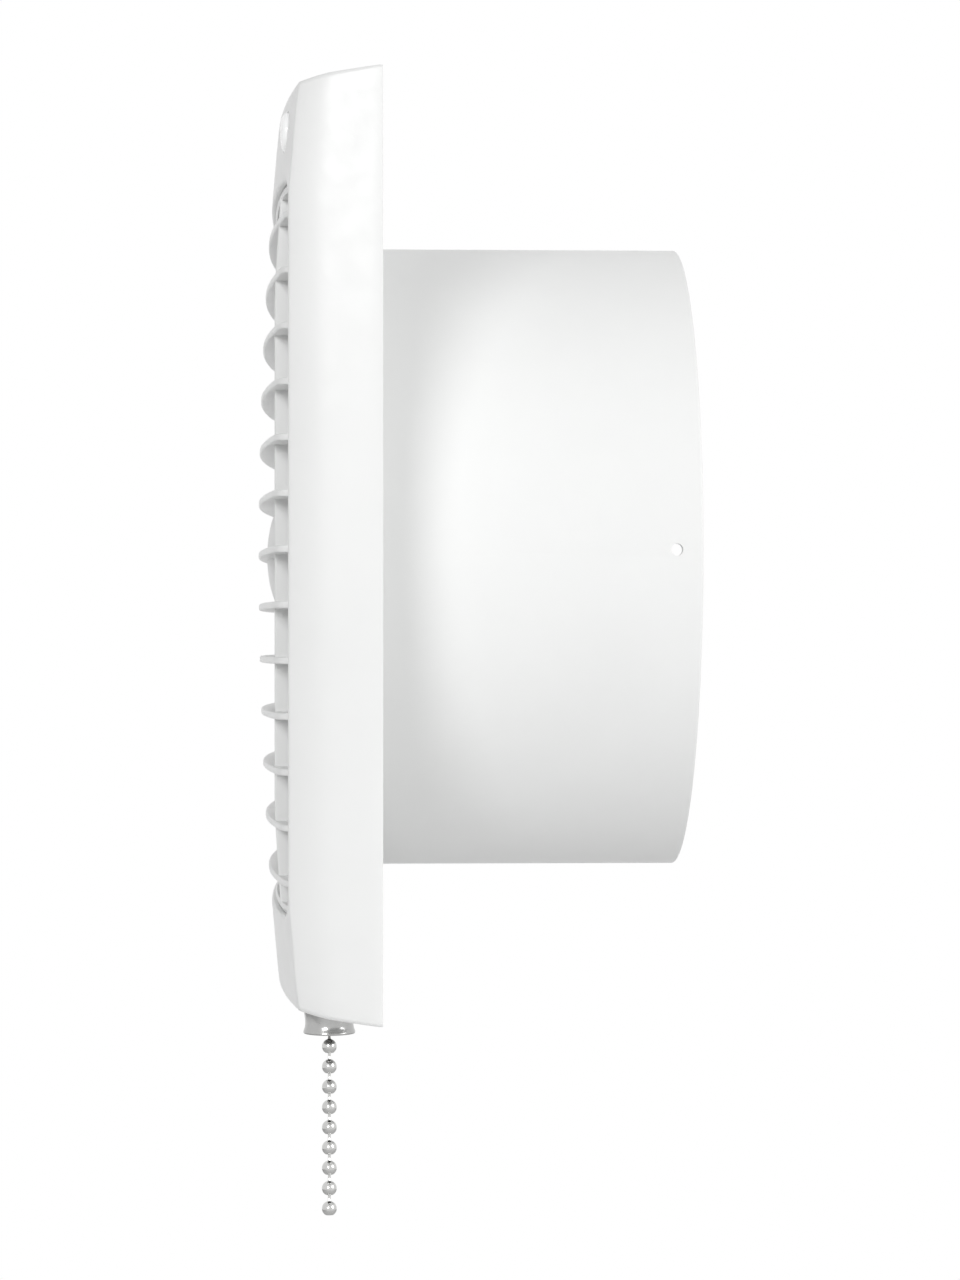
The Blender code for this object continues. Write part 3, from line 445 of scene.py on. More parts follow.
bronzeLook = {**zincLook, "colour": (0.62, 0.42, 0.22)}
brassLook = {**nickelLook, "colour": (0.80, 0.62, 0.30), "roughness": 0.22}
aluminiumLook = {**nickelLook, "colour": (0.74, 0.75, 0.76), "roughness": 0.34, "stretch": (0.2, 1.0, 1.0)}
laminationLook = {"colour": (0.42, 0.43, 0.45), "direction": "Y", "bandScale": 320.0, "wander": 0.3,
                  "groove": 0.62, "stainScale": 180.0, "roughness": 0.45, "smoother": 0.08, "rougher": 0.12,
                  "ridge": 0.5, "ridgeDepth": 0.0002, "metallic": 1.0}
windingLook = {**laminationLook, "colour": (0.66, 0.28, 0.11), "direction": "X", "bandScale": 420.0,
               "wander": 1.2, "roughness": 0.34, "metallic": 0.7}
# The lens's faint emission is painted light that brightens the milky dome.
lensLook = {"colour": (0.96, 0.965, 0.965), "tint": 0.03, "tintScale": 250.0, "hazeScale": 900.0,
            "roughness": 0.08, "rougher": 0.05, "clear": 0.10, "paintedGlow": 0.12, "ior": 1.49}
lampLook = {**lensLook, "colour": (0.95, 0.62, 0.42), "roughness": 0.05, "clear": 0.6, "paintedGlow": 0.0}


def leadLook(colour):
    # Soft insulation: duller than the mouldings, and nothing shines through it.
    return {**whiteLook, "colour": colour, "cloud": 0.10, "roughness": 0.42, "peel": 0.10,
            "subsurface": 0.0}


white = mouldedPlastic("whiteCoverPlastic", whiteLook)
spigotWhite = mouldedPlastic("whiteHousingPlastic", spigotLook)
impellerGrey = mouldedPlastic("impellerPlastic", impellerLook)
nylon = mouldedPlastic("naturalNylon", nylonLook)
bobbinNylon = mouldedPlastic("bobbinNylon", bobbinLook)
switchBlack = mouldedPlastic("switchPhenolic", blackLook)
nickel = platedMetal("nickelPlate", nickelLook)
# The ferrule's finish is a darker copy of the nickel, with painted shade.
ferruleNickel = platedMetal("ferruleNickel", shadedFerruleLook)
steel = platedMetal("platedSteel", steelLook)
zinc = platedMetal("castZinc", zincLook)
bronze = platedMetal("sinteredBronze", bronzeLook)
brass = platedMetal("turnedBrass", brassLook)
aluminium = platedMetal("castAluminium", aluminiumLook)
laminations = bandedMetal("steelLaminations", laminationLook)
winding = bandedMetal("enamelledWinding", windingLook)
lensClear = clearPlastic("lensClear", lensLook)
lampGlass = clearPlastic("lampGlass", lampLook)
brownLead = mouldedPlastic("brownInsulation", leadLook((0.16, 0.07, 0.035)))
blueLead = mouldedPlastic("blueInsulation", leadLook((0.03, 0.12, 0.42)))
blackLead = mouldedPlastic("blackInsulation", leadLook((0.025, 0.025, 0.025)))
redLead = mouldedPlastic("redInsulation", leadLook((0.45, 0.03, 0.02)))
whiteLead = mouldedPlastic("whiteInsulation", leadLook((0.75, 0.75, 0.74)))
print("finishes made")


# Front cover: a run of rings from the wall edge, over the face, through the aperture and back inside

cover = {"half": 102.5, "wall": 2.2, "wide": 82.5, "high": 80.8, "corner": 3.5, "collar": 3.6, "lip": 0.6,
         "edgeInset": 4.5, "edgeCorner": 1.3, "edgeSunk": 0.08, "crease": 0.35, "endLean": 0.72,
         "innerInset": 6.2, "sideSteps": 48, "cornerSteps": 8, "faceSteps": 9, "faceEnd": 0.94,
         "lipSteps": 6}
# The walls from the wall edge to the front: share of the edge's height, lean inwards, corner radius.
coverWalls = {"outside": [(0.0, 0.4, 0.6), (0.03, 0.0, 0.8), (0.45, 1.3, 1.0), (0.64, 2.0, 1.1),
                          (0.80, 2.9, 1.2), (0.93, 3.8, 1.25), (0.985, 4.25, 1.3)],
              "inside": [(0.80, 5.2, 2.0), (0.45, 3.5, 1.5), (0.0, cover["wall"], 1.0)]}
lens = {"x": 80.0, "z": 91.0, "hole": 4.7, "flank": 0.72, "radius": 4.3, "seat": -20.2, "rise": 1.7,
        "domeSteps": 14, "turnSteps": 64}
chain = {"x": 80.0, "y": -11.2, "ball": 1.635, "pitch": 4.44, "count": 9, "firstZ": -109.1, "drop": 0.3,
         "hole": 4.2, "nut": 6.3, "nutTop": -100.3, "turnSteps": 48}
coverScrew = {"y": -6.0, "hole": 2.0, "head": 3.8, "headTop": -101.7, "headFoot": -100.1}
cutReach = {"lens": (-30, -10), "chain": (-112, -94), "screw": (-106, -97), "steps": 48, "screwSteps": 36}
ringSteps = (cover["sideSteps"], cover["cornerSteps"])


def wallRing(lean, corner):
    # The walls above and below lean less than those at the sides.
    return squareRing(cover["half"] - lean, cover["half"] - lean * cover["endLean"], corner, *ringSteps)


def holeRing(grow):
    # The aperture's outline, each side and corner moved out by the same amount.
    return squareRing(cover["wide"] + grow, cover["high"] + grow, cover["corner"] + grow, *ringSteps)


def coverCutters():
    # The lens's hole through the face, and below it the chain's nut and the cover's screw.
    (front, back), hole = cutReach["lens"], lens["hole"]
    lensHole = [(0, front), (hole, front), (hole, back), (0, back)]
    (low, high), hole, nut, top = cutReach["chain"], chain["hole"], chain["nut"], chain["nutTop"]
    nutHole = [(0, low), (nut, low), (nut, top), (hole, top), (hole, high), (0, high)]
    (low, high), hole, head = cutReach["screw"], coverScrew["hole"], coverScrew["head"]
    screwHole = [(0, low), (head, low), (head, coverScrew["headTop"]), (hole, coverScrew["headFoot"]),
                 (hole, high), (0, high)]
    return [turnedIsland(lensHole, cutReach["steps"], "Y", (lens["x"], 0, lens["z"])),
            turnedIsland(nutHole, cutReach["steps"], "Z", (chain["x"], chain["y"], 0)),
            turnedIsland(screwHole, cutReach["screwSteps"], "Z", (0, coverScrew["y"], 0))]


def buildCover():
    # Rings in order: the outer wall, the face, the aperture's round lip and collar, the inner wall.
    inset, crease, lip, wall = cover["edgeInset"], cover["crease"], cover["lip"], cover["wall"]
    edge = wallRing(inset, cover["edgeCorner"])
    height = faceStand(edge[:, 0], edge[:, 1])
    rings = [ringAt(wallRing(max(lean, 0), corner), height * share)
             for share, lean, corner in smoothCurve(coverWalls["outside"], perStretch=4)]
    rings.append(faceRing(edge, cover["edgeSunk"]))
    edge = wallRing(inset + crease, cover["edgeCorner"] - crease)
    for blend in np.linspace(0, cover["faceEnd"], cover["faceSteps"]):
        rings.append(faceRing(edge * (1 - blend) + holeRing(lip) * blend))
    for angle in np.linspace(0, math.pi / 2, cover["lipSteps"]):
        rings.append(faceRing(holeRing(lip * (1 - math.sin(angle))), lip * (1 - math.cos(angle))))
    rings.append(faceRing(holeRing(0), cover["collar"]))
    rings.append(faceRing(holeRing(wall), cover["collar"]))
    rings.append(faceRing(holeRing(wall), wall))
    rings.append(faceRing(wallRing(cover["innerInset"], cover["edgeCorner"]), wall))
    rings += [ringAt(wallRing(lean, corner), height * share)
              for share, lean, corner in coverWalls["inside"]]
    piece = makeMesh("coverShell", [islandFromGrid(np.array(rings), wrapRows=True)], white)
    cutWith(piece, coverCutters())
    place(piece, "housing", "white_plastic", "front_cover")


buildCover()
print("cover made")


# Grille: each slat is a section with a round nose, carried across along its crowned front

grille = {"gap": 0.3, "wall": 1.6, "sunk": 1.0, "rimEdge": 0.4, "back": 16.0, "count": 13, "pitch": 12.3,
          "slat": 1.5, "slatEnd": 77.4, "slatBack": -15.6, "crownShort": 4.0, "crownSteps": 22,
          "shoulder": 18.6, "nose": 0.45, "bar": 1.8, "barSpacing": 58.0, "barFront": 23.5, "barSunk": 0.4,
          "barBack": -15.1, "barNose": 0.5, "barSteps": 41}
# A slat's round corner, from its end: two steps down from the crown, one up from the shoulder.
slatCorner = {"fromCrown": [(-1.5, -0.9), (-0.3, -2.2)], "fromShoulder": (0.1, 0.4), "foot": 0.4}
# A catch: half its width, how far it reaches out, then for each kind its front, its back and its foot.
grilleCatch = {"half": 5.0, "out": 1.7, "side": (-16.1, -14.8, 1.6), "end": (-20.6, -19.2, 0.8)}
grilleBoss = {"dome": [(0, -26.1), (3.5, -25.95), (7.0, -25.4), (10.0, -24.5), (12.2, -23.3), (13.1, -22.0),
                       (13.2, -20.8)],
              "back": [(13.2, -20.8), (13.2, -17.6), (11.6, -17.6), (11.6, -19.4), (0, -19.4)],
              "edge": 0.3, "steps": 64}


def noseSection(front, back, half, nose, steps=5):
    # A thin section whose front edge is a half circle drawn out to the thickness: depth from front to
    # back, across from -half to half.
    angles = np.linspace(-np.pi / 2, np.pi / 2, 2 * steps + 1)
    sine = np.sin(angles)
    across = (half - nose) * np.sign(sine) * (np.abs(sine) > 1e-9) + nose * sine
    depth = front[:, None] + nose * (1 - np.cos(angles))[None, :]
    across = np.broadcast_to(across, depth.shape)
    tail = np.full((len(front), 1), back)
    depth = np.hstack((depth, tail, tail))
    across = np.hstack((across, np.full_like(tail, half), np.full_like(tail, -half)))
    return depth, across


def slatIsland(z):
    # The crown, a round corner at each end, and the low shoulder that runs into the rim.
    end, shoulder = grille["slatEnd"], grille["shoulder"]
    reach = cover["wide"] - grille["gap"] - grille["wall"] / 2
    inner = np.linspace(0, end - grille["crownShort"], grille["crownSteps"])
    crownLine = np.column_stack((inner, slatStand(inner, z)))
    crownEnd = (end, crownLine[-1, 1])
    bend = np.vstack((np.add(slatCorner["fromCrown"], crownEnd),
                      np.add(slatCorner["fromShoulder"], (end, shoulder))))
    corner = smoothCurve([crownLine[-2], crownLine[-1], *bend], perStretch=5)[6:]  # past the crown's own
    foot = np.array([(end + slatCorner["foot"], shoulder), (reach, shoulder)])
    half = np.vstack((crownLine, corner, foot))
    line = np.vstack((half[:0:-1] * (-1, 1), half))
    depth, across = noseSection(-line[:, 1], grille["slatBack"], grille["slat"] / 2, grille["nose"])
    points = np.stack((np.broadcast_to(line[:, :1], depth.shape), depth, z + across), axis=-1)
    return islandFromGrid(points, caps=True)


def barIsland(x):
    # An upright bar whose front keeps a little below the slats.
    reach = cover["high"] - grille["gap"] - grille["wall"] / 2
    z = np.linspace(-reach, reach, grille["barSteps"])
    front = -np.minimum(grille["barFront"], slatStand(x, z) - grille["barSunk"])
    depth, across = noseSection(front, grille["barBack"], grille["bar"] / 2, grille["barNose"])
    points = np.stack((x + across, depth, np.broadcast_to(z[:, None], depth.shape)), axis=-1)
    return islandFromGrid(points, caps=True)


def catchIslands(side):
    # One catch beside the aperture and one above or below it, which reach behind the cover's collar.
    half, out = grilleCatch["half"], grilleCatch["out"]
    front, back, foot = grilleCatch["side"]
    near, far = sorted((side * (cover["wide"] - foot), side * (cover["wide"] + out)))
    beside = boxIsland((near, front, -half), (far, back, half))
    front, back, foot = grilleCatch["end"]
    low, high = sorted((side * (cover["high"] - foot), side * (cover["high"] + out)))
    return [beside, boxIsland((-half, front, low), (half, back, high))]


def buildGrille():
    # One moulding: a rim between two outlines, slats and bars a pitch apart, a turned boss and the catches.
    gap, wall, sunk, edge = grille["gap"], grille["wall"], grille["sunk"], grille["rimEdge"]
    outer, middle, inner = holeRing(-gap), holeRing(-gap - wall / 2), holeRing(-gap - wall)
    rim = np.array([ringAt(outer, grille["back"]), faceRing(outer, sunk + edge), faceRing(middle, sunk),
                    faceRing(inner, sunk + edge), ringAt(inner, grille["back"])])
    islands = [islandFromGrid(rim, wrapRows=True)]
    middleSlat = grille["count"] // 2
    islands += [slatIsland(grille["pitch"] * (number - middleSlat)) for number in range(grille["count"])]
    islands += [barIsland(x) for x in (-grille["barSpacing"], 0.0, grille["barSpacing"])]
    dome = smoothCurve(grilleBoss["dome"], perStretch=3)
    back = softProfile(grilleBoss["back"], grilleBoss["edge"])
    islands.append(turnedIsland(np.vstack((dome, back[1:])), grilleBoss["steps"]))
    for side in (-1, 1):
        islands += catchIslands(side)
    piece = makeMesh("slatGrille", islands, white)
    place(piece, "housing", "white_plastic", "slat_grille")


buildGrille()
print("grille made")


# Housing: a square tray with a round hole, as one run of rings

housing = {"half": 97.5, "plate": 2.5, "rim": 9.0, "rimWall": 2.0, "rimEdge": 0.4, "gap": 0.3,
           "corner": 4.0, "innerCorner": 2.5, "slotX": 87.0, "slotZ": 20.0, "slotRadius": 2.3,
           "slotHalf": 2.5, "slotSteps": 13, "cutFrom": -6.0, "cutTo": 4.0,
           "entry": [(-93, -31), (-91, -29), (-82, -29), (-80, -31), (-80, -46), (-82, -48), (-91, -48),
                     (-93, -46)], "entryEdge": 0.6,
           "clampPost": [(0, -6.0), (2.6, -6.0), (2.6, -1.0), (0, -1.0)], "postEdge": 0.3,
           "screwPost": ((-5, -8.6, -97.0), (5, -1, -88)),
           "switchGap": ((67.5, -12, -101), (92.5, -3.2, -93))}
spigot = {"outer": 74.13, "inner": 71.2, "length": 71.8, "seat": 72.0, "seatDepth": 6.8, "steps": 192,
          "flange": 78.5, "flangeDeep": 2.0, "hole": 1.35, "holeFromRim": 5.9, "holeReach": (60, 85),
          "leadGap": ((70.0, -18, -4.6), (86, -2.6, 4.6)), "leadGapTurn": 135}
clamp = {"posts": (-91.0, -79.0), "z": -54.0}


def wallSlot(x, z):
    # A capsule outline: a half circle about each end of a short line.
    angles = np.linspace(0, np.pi, housing["slotSteps"])
    radius, half = housing["slotRadius"], housing["slotHalf"]
    across = radius * np.cos(angles)
    along = half + radius * np.sin(angles)
    outline = np.column_stack((np.concatenate((across, -across)), np.concatenate((along, -along))))
    return prismIsland(outline + (x, z), housing["cutFrom"], housing["cutTo"])


def trayRing(lean, corner):
    # The tray's outline, each side moved in by lean.
    return squareRing(housing["half"] - lean, housing["half"] - lean, corner, *ringSteps)


def buildHousing():
    # Rings in order: the rim's outside, its top, its inside, then the plate's face and the hole through it.
    plate, rim, wall, edge = housing["plate"], housing["rim"], housing["rimWall"], housing["rimEdge"]
    corner, inner = housing["corner"], housing["innerCorner"]
    hole = roundRing(spigot["outer"] + housing["gap"], *ringSteps)
    rings = [ringAt(trayRing(0, corner), 0), ringAt(trayRing(0, corner), rim - edge),
             ringAt(trayRing(edge, corner - edge), rim), ringAt(trayRing(wall - edge, inner + edge), rim),
             ringAt(trayRing(wall, inner), rim - edge), ringAt(trayRing(wall, inner), plate),
             ringAt(hole, plate), ringAt(hole, 0)]
    piece = makeMesh("housingTray", [islandFromGrid(np.array(rings), wrapRows=True)], spigotWhite)
    entry = softProfile(housing["entry"], housing["entryEdge"], closed=True)
    cutters = [boxIsland(*housing["switchGap"]), prismIsland(entry, housing["cutFrom"], housing["cutTo"])]
    cutters += [wallSlot(x, z) for x in (-housing["slotX"], housing["slotX"])
                for z in (-housing["slotZ"], housing["slotZ"])]
    cutWith(piece, cutters)
    place(piece, "housing", "dull_white_plastic", "housing")

    post = softProfile(housing["clampPost"], housing["postEdge"])
    islands = [boxIsland(*housing["screwPost"])]
    islands += [turnedIsland(post, meshing["holeSteps"], "Y", (x, 0, clamp["z"]))
                for x in clamp["posts"]]
    posts = makeMesh("housingPosts", islands, spigotWhite)
    place(posts, "housing", "dull_white_plastic")


buildHousing()
print("housing made")


# Spigot: one turned section, out over the bell mouth, along the outside and back down the bore to the seat

bellMouth = [(73.2, -7.0), (75.8, -11.4), (79.0, -13.9), (81.3, -14.35), (81.8, -13.9), (81.6, -13.2),
             (78.2, -11.0), (76.2, -7.6)]


def buildSpigot():
    # The section (radius, depth) turned through full circles: x = radius cos t, z = radius sin t.
    shoulder = -housing["plate"] - housing["gap"]
    under = shoulder - spigot["flangeDeep"]
    outer, inner, seat, length = spigot["outer"], spigot["inner"], spigot["seat"], spigot["length"]
    depth = spigot["seatDepth"]
    neck, flange = bellMouth[-1][0], spigot["flange"]
    bell = smoothCurve([(seat, 0.0), *bellMouth, (neck, under)], perStretch=5)
    rest = softProfile([(neck, under), (flange, under), (flange, shoulder), (outer, shoulder),
                        (outer, length), (inner, length), (inner, depth), (seat, depth), (seat, 0.0)],
                       (0, 0.4, 0.3, 0.1, 0.45, 0.45, 0.1, 0.1, 0))
    profile = np.vstack((bell, rest[1:-1]))
    piece = makeMesh("spigotTube", [turnedIsland(profile, spigot["steps"], closed=True)], spigotWhite)
    cutters = [boxIsland(*spigot["leadGap"], turnAboutY(spigot["leadGapTurn"]))]
    radius = spigot["hole"]
    for side in (-1, 1):
        near, far = side * spigot["holeReach"][0], side * spigot["holeReach"][1]
        hole = [(0, near), (radius, near), (radius, far), (0, far)]
        centre = (0, length - spigot["holeFromRim"], 0)
        cutters.append(turnedIsland(hole, meshing["holeSteps"], "X", centre))
    cutWith(piece, cutters)
    place(piece, "housing", "dull_white_plastic", "spigot")


buildSpigot()
print("spigot made")


# Motor carrier: a cup on four arms, whose feet sit on the step inside the spigot

carrier = {"hub": 27.0, "hubHole": 7.5, "front": -1.0, "wall": 2.0, "floor": 2.0, "back": 7.0, "arms": 4,
           "firstArm": 45, "armRoot": 1.2, "armShort": 0.8, "armDepth": 6.2, "armHollow": 0.8,
           "armFront": -0.3, "armNarrow": 1.1, "armBroad": 1.6, "armSteps": 15, "footWide": 7.5,
           "footWall": 1.8, "footFront": -0.5, "footSteps": 9, "screwSpacing": 19.5, "screwHole": 2.0,
           "screwReach": 8.0, "hubSteps": 96}


def armIsland(reach, turn):
    # A soft section from hub to foot, whose depth is least halfway: depth minus hollow times 4 t (1 - t).
    first, last = carrier["hub"] - carrier["armRoot"], reach - carrier["armShort"]
    radius = np.linspace(first, last, carrier["armSteps"])
    share = (radius - radius[0]) / (radius[-1] - radius[0])
    depths = carrier["armDepth"] - carrier["armHollow"] * 4 * share * (1 - share)
    front, narrow, broad = carrier["armFront"], carrier["armNarrow"], carrier["armBroad"]
    rows = []
    for r, depth in zip(radius, depths):
        section = [(front, -narrow), (front, narrow), (depth, broad), (depth, -broad)]
        section = softProfile(section, (0.5, 0.5, 0.7, 0.7), steps=3, closed=True)
        rows.append(np.column_stack((np.full(len(section), r), section)) @ turn.T)
    return islandFromGrid(np.array(rows), caps=True)


def footIsland(reach, turn):
    # A short run of the spigot's bore, as thick as the step that carries it.
    wide = np.radians(np.linspace(-carrier["footWide"], carrier["footWide"], carrier["footSteps"]))
    outline = np.vstack([radius * np.column_stack((np.cos(run), np.sin(run)))
                         for radius, run in ((reach, wide), (reach - carrier["footWall"], wide[::-1]))])
    points, faceSets = prismIsland(outline, carrier["footFront"], spigot["seatDepth"] - housing["gap"])
    return points @ turn.T, faceSets


def buildMount():
    # A turned cup, and arms and feet that repeat at equal turns.
    hub, hole, front, back = carrier["hub"], carrier["hubHole"], carrier["front"], carrier["back"]
    inside, floor = hub - carrier["wall"], carrier["floor"]
    reach = spigot["seat"] - housing["gap"]
    cup = softProfile([(hole, front), (hub, front), (hub, back), (inside, back), (inside, floor),
                       (hole, floor)],
                      (0.5, 0.8, 0.5, 0.5, 0.8, 0.3), closed=True)
    islands = [turnedIsland(cup, carrier["hubSteps"], closed=True)]
    for number in range(carrier["arms"]):
        turn = turnAboutY(carrier["firstArm"] + 360 / carrier["arms"] * number)
        islands += [armIsland(reach, turn), footIsland(reach, turn)]
    mount = makeMesh("motorCarrier", islands, spigotWhite)
    radius, long = carrier["screwHole"], carrier["screwReach"]
    hole = [(0, -long), (radius, -long), (radius, long), (0, long)]
    spacing = carrier["screwSpacing"]
    cutWith(mount, [turnedIsland(hole, meshing["holeSteps"], "Y", (x, 0, 0)) for x in (-spacing, spacing)])
    place(mount, "housing", "dull_white_plastic", "motor_mount")


buildMount()
print("motor carrier made")


# Impeller: blade sections wrapped on cylinders, each turned and cambered by its share of the radius

wheel = {"front": 33.0, "back": 56.0, "hub": 24.0, "tip": 69.8, "blades": 7, "chord": (31.0, 15.0),
         "pitch": (43.0, -19.0), "sweep": 9.0, "camber": (0.075, -0.02), "thick": (2.4, -0.8), "bore": 1.85,
         "bossDepth": 12.0, "bossRadius": 5.0, "wall": 2.2, "lipWall": 2.0, "root": 1.0, "blunt": 0.35,
         "rows": 25, "steps": 40, "hubSteps": 128}


def bladeIsland(phase):
    # Each size runs from its value at the hub by its change to the tip. A section lies on an arch, camber
    # times chord times 1 - 4 t^2, and stands off it by half the thickness times the sine, drawn in
    # towards both edges.
    radii = np.linspace(wheel["hub"] - wheel["root"], wheel["tip"], wheel["rows"])[:, None]
    share = (radii - wheel["hub"]) / (wheel["tip"] - wheel["hub"])
    chord, pitch, camber, thick = [wheel[size][0] + wheel[size][1] * share
                                   for size in ("chord", "pitch", "camber", "thick")]
    pitch = np.radians(pitch)
    turn = np.linspace(0, 2 * np.pi, wheel["steps"], endpoint=False)[None, :]
    along = -0.5 * np.cos(turn)
    side = np.sin(turn)
    swell = wheel["blunt"] + (1 - wheel["blunt"]) * np.abs(side)
    offset = thick / 2 * side * swell - camber * chord * (1 - 4 * along ** 2)
    across = along * chord * np.cos(pitch) - offset * np.sin(pitch)
    depth = along * chord * np.sin(pitch) + offset * np.cos(pitch)
    angle = phase - math.radians(wheel["sweep"]) * share ** 2 + across / radii
    middle = (wheel["front"] + wheel["back"]) / 2
    points = np.stack((radii * np.cos(angle), middle + depth, radii * np.sin(angle)), axis=-1)
    return islandFromGrid(points, caps=True)


def buildImpeller():
    # A turned cup with its boss, and blades that repeat at equal turns.
    front, back, hub, wall = wheel["front"], wheel["back"], wheel["hub"], wheel["wall"]
    bore, boss, deep = wheel["bore"], wheel["bossRadius"], wheel["back"] - wheel["bossDepth"]
    cup = softProfile([(hub, front), (hub, back), (bore, back), (bore, deep), (boss, deep),
                       (boss, back - wall), (hub - wall, back - wall), (hub - wheel["lipWall"], front)],
                      (0.4, 5.0, 0.2, 0.2, 0.4, 0.6, 3.2, 0.4), steps=8, closed=True)
    islands = [turnedIsland(cup, wheel["hubSteps"], closed=True)]
    islands += [bladeIsland(2 * math.pi * number / wheel["blades"]) for number in range(wheel["blades"])]
    piece = makeMesh("impellerWheel", islands, impellerGrey)
    place(piece, "rotor", "grey_plastic", "impeller")


buildImpeller()
print("impeller made")


# Lens and pull chain: turned profiles of (radius, height)

lensBack = [(4.3, -20.2), (4.3, -16.4), (5.2, -16.4), (5.2, -15.2), (3.0, -15.2), (3.0, -19.4), (0, -19.9)]
ferrule = {"bell": [(5.7, -100.6), (5.66, -101.1), (5.46, -102.2), (5.3, -103.7), (5.36, -104.7),
                    (5.6, -105.5), (5.7, -105.85), (5.6, -106.12), (5.2, -106.2), (4.4, -106.0),
                    (3.2, -105.3), (2.5, -104.6), (2.3, -104.0)],
           "inside": [(2.3, -102.9), (4.1, -102.9), (4.1, -100.6)], "turnSteps": 96}
bead = {"head": 0.95, "headArc": 158, "headSteps": 12, "pin": 0.32, "pinTop": 1.0, "pinFoot": 1.75,
        "flare": (0.42, 1.62), "arcStart": 18, "arcEnd": 147, "arcSteps": 22,
        "socket": [(0.86, -1.38), (0.88, -1.1), (1.2, -0.3), (0.8, 0.6), (0, 0.86)], "edge": 0.2}
stem = {"top": -81.0, "flange": 2.2, "flangeFoot": -84.0, "rod": 1.2, "rodFoot": 1.2, "arcStart": 48,
        "arcSteps": 18}
spring = {"turns": 6, "perTurn": 24, "radius": 1.9, "wire": 0.3, "bottom": -97.4, "top": -84.6,
          "closeEnds": 0.75, "sides": 8}


def buildIndicator():
    # The dome is a button with full flanks: its sine and cosine are raised to less than one.
    angles = np.linspace(0, np.pi / 2, lens["domeSteps"])
    out, rise = np.sin(angles) ** lens["flank"], np.maximum(np.cos(angles), 0) ** lens["flank"]
    dome = np.column_stack((lens["radius"] * out, lens["seat"] - lens["rise"] * rise))
    dome[-1, 1] = lens["seat"]
    profile = np.vstack((dome, softProfile(lensBack, 0.15)[1:]))
    island = turnedIsland(profile, lens["turnSteps"], "Y", (lens["x"], 0, lens["z"]))
    piece = makeMesh("lensDome", [island], lensClear)
    place(piece, "housing", "clear_plastic", "indicator_lens")


def buildFerrule():
    # The bell's smooth curve and its straight inside, turned about the chain's axis.
    profile = np.vstack((smoothCurve(ferrule["bell"], perStretch=4), ferrule["inside"]))
    island = turnedIsland(profile, ferrule["turnSteps"], "Z", (chain["x"], chain["y"], 0), closed=True)
    place(makeMesh("ferruleBell", [island], ferruleNickel), "housing", "nickel", "chain_ferrule")


def arcOf(radius, first, last, steps):
    # Radius times sine, radius times cosine, from the first angle to the last.
    angles = np.radians(np.linspace(first, last, steps))
    return radius * np.column_stack((np.sin(angles), np.cos(angles)))


def ballUnder(first, steps):
    # A ball from an angle down to its socket, and the socket's inside.
    outside = arcOf(chain["ball"], first, bead["arcEnd"], steps)
    return np.vstack((outside, softProfile(bead["socket"], bead["edge"])))


def buildBeads():
    # The pin's head above, the pin, the ball and the socket under it, about the ball's middle.
    headZ = chain["pitch"] - chain["drop"]
    head = arcOf(bead["head"], 0, bead["headArc"], bead["headSteps"]) + (0, headZ)
    pin = [(bead["pin"], headZ - bead["pinTop"]), (bead["pin"], bead["pinFoot"]), bead["flare"]]
    profile = np.vstack((head, pin, ballUnder(bead["arcStart"], bead["arcSteps"])))
    for number in range(1, chain["count"] + 1):
        centre = (chain["x"], chain["y"], chain["firstZ"] - chain["pitch"] * (number - 1))
        island = turnedIsland(profile, chain["turnSteps"], "Z", centre)
        piece = makeMesh("chainBall%d" % number, [island], nickel)
        place(piece, "bead_%d" % number, "nickel", "chain_bead_%d" % number)


def buildStem():
    # A flange, a rod and a ball with its socket, turned as one about the chain's axis.
    ballZ = chain["firstZ"] + chain["pitch"]
    top, foot, flange, rod = stem["top"], stem["flangeFoot"], stem["flange"], stem["rod"]
    above = [(0, top), (flange, top), (flange, foot), (rod, foot), (rod, ballZ + stem["rodFoot"])]
    ball = ballUnder(stem["arcStart"], stem["arcSteps"]) + (0, ballZ)
    profile = np.vstack((softProfile(above, bead["edge"]), ball))
    island = turnedIsland(profile, chain["turnSteps"], "Z", (chain["x"], chain["y"], 0))
    piece = makeMesh("stemRod", [island], nickel)
    place(piece, "switch_stem", "nickel", "switch_stem")


def buildSpring():
    # A helix whose pitch is small at its ends: share of height = t - c sin(2 pi t) / (2 pi), t from 0 to 1.
    share = np.linspace(0, 1, spring["perTurn"] * spring["turns"] + 1)
    angles = 2 * np.pi * spring["turns"] * share
    rise = share - spring["closeEnds"] * np.sin(2 * np.pi * share) / (2 * np.pi)
    route = np.column_stack((chain["x"] + spring["radius"] * np.cos(angles),
                             chain["y"] + spring["radius"] * np.sin(angles),
                             spring["bottom"] + (spring["top"] - spring["bottom"]) * rise))
    piece = makeMesh("springCoil", [sweptIsland(route, spring["wire"], spring["sides"])], steel)
    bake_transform(piece)
    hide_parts("switch_spring")


buildIndicator()
buildFerrule()
buildBeads()
buildStem()
buildSpring()
print("lens and chain made")


# Turned fittings: a soft profile of (radius, height), with a slot or a cross sunk in a screw's head

